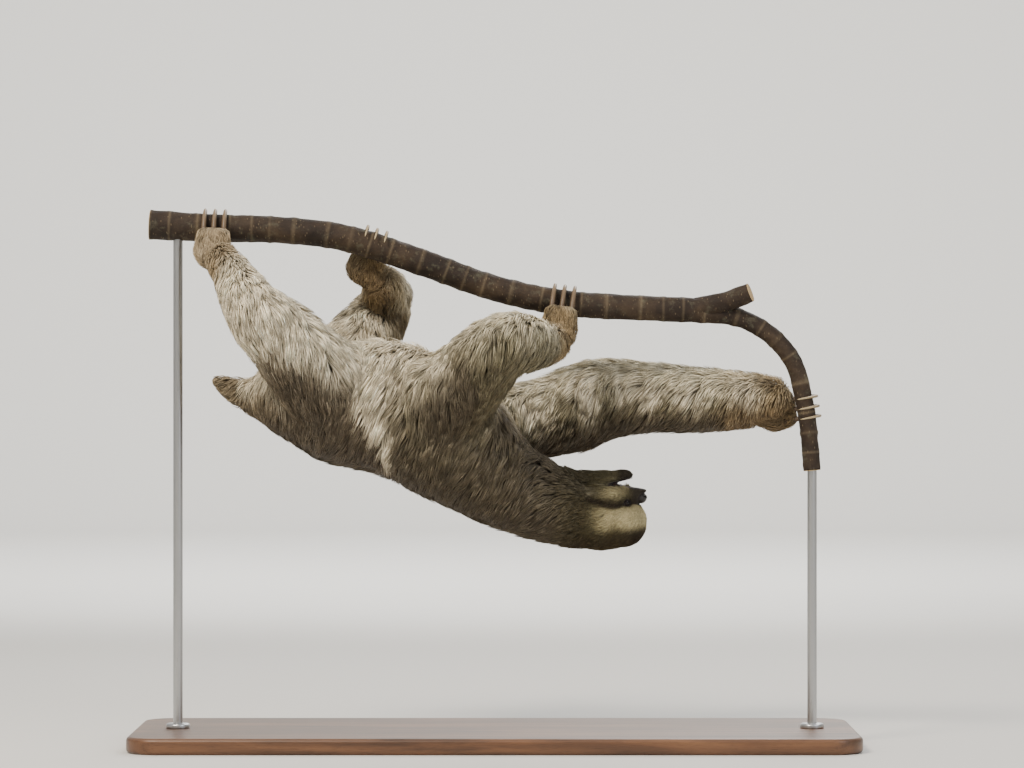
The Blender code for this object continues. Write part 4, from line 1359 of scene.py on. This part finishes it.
def makeClaw(name, grip, number, node):
    # a horn carried along an arc over the wood: taller than wide, with a flat underside and a fine tip
    rows, columns = claw["rows"], claw["columns"]
    share = np.linspace(0, 1, rows)
    angle = np.radians(claw["start"] + (grip["end"] - claw["start"]) * share)
    hub = grip["centre"] + grip["along"] * number * claw["spacing"] + grip["over"] * grip["drop"]
    spokes = grip["side"] * np.cos(angle)[:, None] + grip["over"] * np.sin(angle)[:, None]
    radius = claw["tipRadius"] + (claw["rootRadius"] - claw["tipRadius"]) * (1 - share**1.3)
    radius = radius * (1 - 0.9 * fade(0.96, 1.0, share))
    cosB, sinB = ringOf(columns).T
    wide, tall = cosB * claw["width"], sinB * np.where(sinB < 0, claw["below"], claw["above"])
    points = (
        (hub + spokes * grip["curve"])[:, None]
        + grip["along"] * (radius[:, None] * wide)[..., None]
        + spokes[:, None] * (radius[:, None] * tall)[..., None]
    )
    obj = solid(name, capped(points))
    corners = cornerPoints(obj.data)
    u = np.append(np.tile(np.arange(columns) / columns, rows), [0.5, 0.5])[corners]
    v = np.append(np.repeat(share, columns), [0, 1])[corners]
    # a face that crosses the seam keeps to its own side of it
    sizes = np.array([len(p.vertices) for p in obj.data.polygons])
    highest = np.maximum.reduceat(u, np.cumsum(sizes) - sizes).repeat(sizes)
    u = np.where((u < 0.25) & (highest > 0.75), u + 1, u)
    setUv(obj.data, "OFBake", np.column_stack([u * 0.9, v]))
    placePiece(obj, horn, "claw", node)


for name, grip in grips.items():
    nodeName = name.replace("Hand", "_hand").replace("Foot", "_foot")
    for number, label in zip((-1, 0, 1), ("inner", "middle", "outer")):
        makeClaw(f"claw{name[0].upper()}{name[1:]}{label.title()}", grip, number, f"{nodeName}_claw_{label}")
report("claws")


# Bark: thin and dark between rings of leaf scars, with pale corky pores, a little lichen and a fine grain.
bark, tree, shader = newMaterial("thinBark", {"Roughness": 0.74, "IOR": 1.5, "Specular IOR Level": 0.3})
place = addNode(tree, "TexCoord", {}, "Object")
# darker and paler patches about 35 mm across, broken up finely
patchNoise = {"Scale": 28.0, "Detail": 6.0, "Roughness": 0.62, "Vector": place}
patches = addNode(tree, "TexNoise", patchNoise)
barkStops = ((0.28, "#1a130e"), (0.48, "#2a2018"), (0.62, "#3a2e22"), (0.78, "#524535"))
tone = addNode(tree, "ValToRGB", {"stops": barkStops, "Fac": patches})
# corky pores, about 1 mm wide and 2.5 mm long across the stem
poreMap = addNode(tree, "Mapping", {"Scale": (1.0, 0.45, 0.45), "Vector": place})
pores = addNode(tree, "TexVoronoi", {"Scale": 260.0, "Vector": poreMap})
poreRange = {"From Min": 0.08, "From Max": 0.22, "To Min": 0.55, "To Max": 0.0, "Value": pores}
poreSpot = addNode(tree, "MapRange", poreRange)
# a thin grey-green lichen film in patches of 1 to 2 cm
filmNoise = {"Scale": 75.0, "Detail": 7.0, "Roughness": 0.7, "Vector": place}
film = addNode(tree, "TexNoise", filmNoise)
filmRange = {"From Min": 0.54, "From Max": 0.72, "To Min": 0.0, "To Max": 0.40, "Value": film}
filmShare = addNode(tree, "MapRange", filmRange)
# the scars are paler, worn cork, broken up by the same patches
scar = addNode(tree, "Attribute", {"attribute_name": "scar"}, "Fac")
worn = addNode(tree, "Math", {"operation": "MULTIPLY", 0: scar, 1: patches})
for share, hexColour in ((poreSpot, "#75664e"), (filmShare, "#6a6a57"), (worn, "#7c6d55")):
    mixture = {"data_type": "RGBA", "Factor": share, "A": tone, "B": (*linear(hexColour), 1)}
    tone = addNode(tree, "Mix", mixture, "Result")
# a grain about 2 mm across, and finer
grain = addNode(tree, "TexNoise", {"Scale": 520.0, "Detail": 4.0, "Vector": place})
heights = addNode(tree, "Math", {"operation": "ADD", 0: grain, 1: poreSpot})
relief = addNode(tree, "Bump", {"Strength": 0.85, "Distance": 0.0008, "Height": heights})
fill(shader, {"Base Color": tone, "Normal": relief})

# Sawn end wood: pale, dry, with growth rings 2 to 3 mm apart.
sawn, tree, shader = newMaterial("sawnWood", {"Roughness": 0.8, "IOR": 1.5, "Specular IOR Level": 0.25})
ringUv = addNode(tree, "UVMap", {"uv_map": "OFBake"})
ringMap = addNode(tree, "VectorMath", {"operation": "SUBTRACT", 0: ringUv, 1: (0.5, 0.5, 0.0)})
ringWaves = {"wave_type": "RINGS", "rings_direction": "Z", "Scale": 3.6, "Distortion": 1.2, "Detail": 2.0}
rings = addNode(tree, "TexWave", {**ringWaves, "Vector": ringMap}, "Fac")
endStops = ((0.0, "#8d6f49"), (0.6, "#b8996c"), (1.0, "#c9ae82"))
fill(shader, {"Base Color": addNode(tree, "ValToRGB", {"stops": endStops, "Fac": rings})})


def stem(rows, steps, columns, seed, scars=True):
    # a stem: a nearly round ring carried along the path, swollen at each leaf scar, with low lumps
    path = catmullRom(rows, steps)
    run = np.concatenate([[0], np.cumsum(norm(np.diff(path[:, :3], axis=0)))])
    even = np.linspace(0, run[-1], len(path) * 2)
    path = np.column_stack([np.interp(even, run, path[:, k]) for k in range(4)])
    step = even / branch["ringSpacing"] + branch["unevenness"] * np.sin(even * 47)
    scar = np.cos(2 * math.pi * step).clip(0)
    swell = branch["ringHeight"] * scar**4
    line = branch["lineDepth"] * bell(((step + 0.5) % 1 - 0.5) / 0.030)
    radius = (path[:, 3] + (swell - line) * scars)[:, None]
    ring = ringOf(columns)
    spots = path[:, None, :3] + np.insert(ring, 0, 0, 1)[None] * branch["lumpReach"]
    for size, squeeze, number, height in branch["lumps"]:
        lumps = ripple(spots.reshape(-1, 3) * (squeeze, 1, 1), size, seed + number)
        radius = radius + lumps.reshape(len(path), columns) * height
    worn = np.append(np.repeat(0.7 * scar**24 * scars, columns), [0, 0])
    return path, carry(path[:, :3], radius[..., None] * ring[None]), worn


def cutFace(rim, way):
    # a sawn end: rings of the rim drawn in towards the middle, with a small bevel at the bark
    middle = rim.mean(0)
    shares = np.array([1.0, 0.985, 0.93, 0.6, 0.3, 0.0])[:, None, None]
    lift = np.array([0.0, 0.0005, 0.0006, 0.0006, 0.0006, 0.0006])[:, None, None]
    points = middle + (rim - middle)[None] * shares + way * lift
    uv = 0.5 + shares * 0.48 * ringOf(len(rim))[None]
    rows, columns = len(shares) - 1, len(rim)
    last = (rows - 1) * columns
    faces = gridFaces(rows, columns)
    faces += [(rows * columns, last + j, last + (j + 1) % columns) for j in range(columns)]
    # the last ring is one point in the middle
    points, uv = (values.reshape(-1, values.shape[-1])[: rows * columns + 1] for values in (points, uv))
    return points, faces, uv


def makeBranch():
    # the stem and its side shoot in bark, and the three sawn ends
    path, main, scars = stem(branch["rows"], steps=14, columns=48, seed=71)
    stubPath, stub, plain = stem(branch["stub"], steps=16, columns=40, seed=77, scars=False)
    wood = solid("branchBark", capped(main), capped(stub))
    setColour(wood.data, "scar", np.append(scars, plain)[:, None] * np.ones(3))
    placePiece(wood, bark, "bark", "perch_branch")
    ends = (
        ("cutLeft", main[0], path[0, :3] - path[1, :3]),
        ("cutStub", stub[-1], stubPath[-1, :3] - stubPath[-2, :3]),
        ("cutShoot", main[-1], path[-1, :3] - path[-2, :3]),
    )
    for name, rim, way in ends:
        way = unit(way)
        points, faces, uv = cutFace(rim, way)
        obj = makeObject(name, points, faces)
        obj.data.shade_flat()
        if Vector(obj.data.polygons[len(faces) // 2].normal).dot(Vector(way)) < 0:
            obj.data.flip_normals()
        setUv(obj.data, "OFBake", uv[cornerPoints(obj.data)])
        placePiece(obj, sawn, "bark")


makeBranch()
report("branch")


# Walnut: planed and oiled, grain along the board, with dark streaks and fine open pores.
walnutLook = {"Roughness": 0.42, "IOR": 1.5, "Coat Weight": 0.12, "Coat Roughness": 0.3}
walnut, tree, shader = newMaterial("oiledWalnut", walnutLook)
place = addNode(tree, "TexCoord", {}, "Object")
# streaks about 27 mm wide and 300 mm long
stretch = addNode(tree, "Mapping", {"Scale": (1.0, 11.0, 11.0), "Vector": place})
figureNoise = {"Scale": 3.4, "Detail": 5.0, "Distortion": 1.3, "Vector": stretch}
figure = addNode(tree, "TexNoise", figureNoise)
walnutStops = ((0.25, "#3a2517"), (0.45, "#553823"), (0.60, "#6b482e"), (0.80, "#80593a"))
walnutTone = addNode(tree, "ValToRGB", {"stops": walnutStops, "Fac": figure})
# pores: dark dashes 0.4 mm wide and about 8 mm long
fine = addNode(tree, "Mapping", {"Scale": (60.0, 1500.0, 1500.0), "Vector": place})
pore = addNode(tree, "TexNoise", {"Scale": 1.0, "Detail": 2.0, "Vector": fine})
poreRange = {"From Min": 0.28, "From Max": 0.46, "To Min": 0.55, "To Max": 1.0, "Value": pore}
poreDark = addNode(tree, "MapRange", poreRange)
toned = addNode(tree, "VectorMath", {"operation": "MULTIPLY", 0: walnutTone, 1: poreDark})
relief = addNode(tree, "Bump", {"Strength": 0.25, "Distance": 0.0002, "Height": pore})
fill(shader, {"Base Color": toned, "Normal": relief})

# Steel: turned bar, rubbed lengthwise to a satin finish.
steelLook = {"Base Color": (*linear("#b9babb"), 1), "Metallic": 1.0, "Roughness": 0.30}
steel, tree, shader = newMaterial("satinSteel", steelLook)
place = addNode(tree, "TexCoord", {}, "Object")
# rubbing marks about 1 mm wide and 25 mm long, coarser than the real ones so that they show
rub = addNode(tree, "Mapping", {"Scale": (900.0, 900.0, 40.0), "Vector": place})
scratches = addNode(tree, "TexNoise", {"Scale": 1.0, "Detail": 2.0, "Vector": rub})
rough = addNode(tree, "MapRange", {"To Min": 0.22, "To Max": 0.40, "Value": scratches})
fill(shader, {"Roughness": rough})

stand = {
    "length": 0.900,
    "depth": 0.300,
    "thickness": 0.020,
    "corner": 0.040,
    "edge": 0.005,
    "drawnIn": (0.012, 0.030),  # rings on the board's flat faces, this far in from its outline
    "columns": 48,  # faces round the rods and collars
    "rodRadius": 0.006,
    "rodX": 0.39625,
    "rodBevel": 0.0006,
    "collarRadius": 0.015,
    "collarFoot": 0.0004,
    "collarBevel": 0.0012,
}


def makeBoard():
    # an edge profile carried round the board's rounded outline, drawn in to the middle above and below
    half = np.array([stand["length"], stand["depth"]]) / 2
    corner, edge, top = stand["corner"], stand["edge"], stand["thickness"]
    turns = np.radians(np.linspace(0, 90, 13) + np.arange(0, 360, 90)[:, None])
    way = np.stack([np.cos(turns), np.sin(turns)], -1)
    signs = np.array([(1, 1), (-1, 1), (-1, -1), (1, -1)])[:, None]
    outline = (signs * (half - corner) + corner * way).reshape(-1, 2)
    way = way.reshape(-1, 2)
    a = np.radians(np.linspace(0, 90, 7))
    near, far = stand["drawnIn"]
    inset = np.concatenate([[far, near], edge - edge * np.sin(a), edge - edge * np.cos(a), [near, far]])
    height = np.concatenate([[0, 0], edge - edge * np.cos(a), top - edge + edge * np.sin(a), [top, top]])
    rings = np.empty((len(inset), len(way), 3))
    rings[..., :2] = outline - way * inset[:, None, None]
    rings[..., 2] = height[:, None]
    placePiece(solid("boardWalnut", capped(rings)), walnut, "walnut", "stand_board")


def spun(profile, columns, x=0.0):
    # rings from a profile of radius and height, spun about an upright line at x
    radius, height = np.array(profile).T[..., None]
    cosB, sinB = ringOf(columns).T
    return np.stack([x + radius * cosB, radius * sinB, height + 0 * cosB], -1)


def turned(name, profile, x, node):
    # a turned steel piece: a spun profile, its shading weighted to the broad faces
    obj = solid(name, capped(spun(profile, stand["columns"], x)))
    weighted = obj.modifiers.new("weighted", "WEIGHTED_NORMAL")
    weighted.keep_sharp = True
    placePiece(applied(obj), steel, "steel", node)


makeBoard()
for label, sign in (("left", -1), ("right", 1)):
    r, b, x = stand["rodRadius"], stand["rodBevel"], sign * stand["rodX"]
    low, high = (corner[2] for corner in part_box(f"stand_rod_{label}"))
    profile = ((r - b, low), (r, low + b), (r, high - b), (r - b, high))
    turned(f"rod{label.title()}", profile, x, f"stand_rod_{label}")
    c, foot, e = stand["collarRadius"], stand["collarFoot"], stand["collarBevel"]
    low, high = (corner[2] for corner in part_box(f"stand_collar_{label}"))
    profile = [(c - foot, low), (c, low + foot)]
    profile += [(c, high - e * 2), (c - e * 0.6, high - e * 0.8), (c - e * 2, high), (r + b, high)]
    turned(f"collar{label.title()}", profile, x, f"stand_collar_{label}")
report("stand")


# A round sweep: the floor is flat to 7 m and then curves up into a wall, so that no edge shows.
studio = {"flat": 7.0, "curve": 2.5, "wall": 4.5, "columns": 96, "paper": "#dcdad5", "air": "#e9e8e6"}


def makeSweep():
    # rings of the floor, a quarter circle and the wall, spun about the middle, seen from inside
    flat, curve, columns = studio["flat"], studio["curve"], studio["columns"]
    a = np.radians(np.linspace(0, 90, 25))
    reach = np.concatenate([[0.4, 1.5, 4.0], flat + curve * np.sin(a), [flat + curve]])
    height = np.concatenate([[0, 0, 0], curve * (1 - np.cos(a)), [studio["wall"]]])
    points = np.vstack([spun(np.column_stack([reach, height]), columns).reshape(-1, 3), [[0, 0, 0]]])
    faces = [face[::-1] for face in gridFaces(len(reach), columns)]
    faces += [(len(points) - 1, j, (j + 1) % columns) for j in range(columns)]
    return makeObject("studioSweep", points, faces)


studioFloor = makeSweep()
paperLook = {"Base Color": (*linear(studio["paper"]), 1), "Roughness": 0.9, "Specular IOR Level": 0.15}
studioFloor.data.materials.append(newMaterial("studioPaper", paperLook)[0])

world = bpy.data.worlds.new("studio")
world.use_nodes = True
fill(world.node_tree.nodes["Background"], {"Color": (*linear(studio["air"]), 1), "Strength": 1.0})
bpy.context.scene.world = world

lights = {
    # place, target, size, watts, colour
    "keyLight": ((-1.6, -2.2, 3.0), (0, 0, 0.42), 1.2, 78, "#fff3e2"),
    "fillLight": ((2.6, -2.6, 1.8), (0, 0, 0.36), 1.8, 20, "#eef3ff"),
    "backLight": ((0.8, 2.6, 2.4), (0, 0, 0.45), 1.6, 32, "#ffffff"),
    "wallLight": ((0, 2.0, 3.6), (0, 9.0, 0.6), 2.5, 330, "#ffffff"),
}
for name, (place, target, size, watts, hexColour) in lights.items():
    light = bpy.data.lights.new(name, "AREA")
    light.shape = "DISK"
    light.size = size
    light.energy = watts
    light.spread = math.radians(130)  # it fades out to its sides, so that no edge of it shows on the wall
    light.color = linear(hexColour)
    lamp = added(name, light)
    lamp.location = place
    lamp.rotation_euler = (Vector(target) - Vector(place)).to_track_quat("-Z", "Y").to_euler()

camera = bpy.data.cameras.new("camera")
camera.lens = 135
camera.sensor_width = 36
camera.clip_end = 100
cameraObject = added("camera", camera)
cameraObject.location = (0.02125, -4.8, 0.45)
cameraObject.rotation_euler = (math.pi / 2, 0, 0)
bpy.context.scene.camera = cameraObject

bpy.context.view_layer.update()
report("ready")
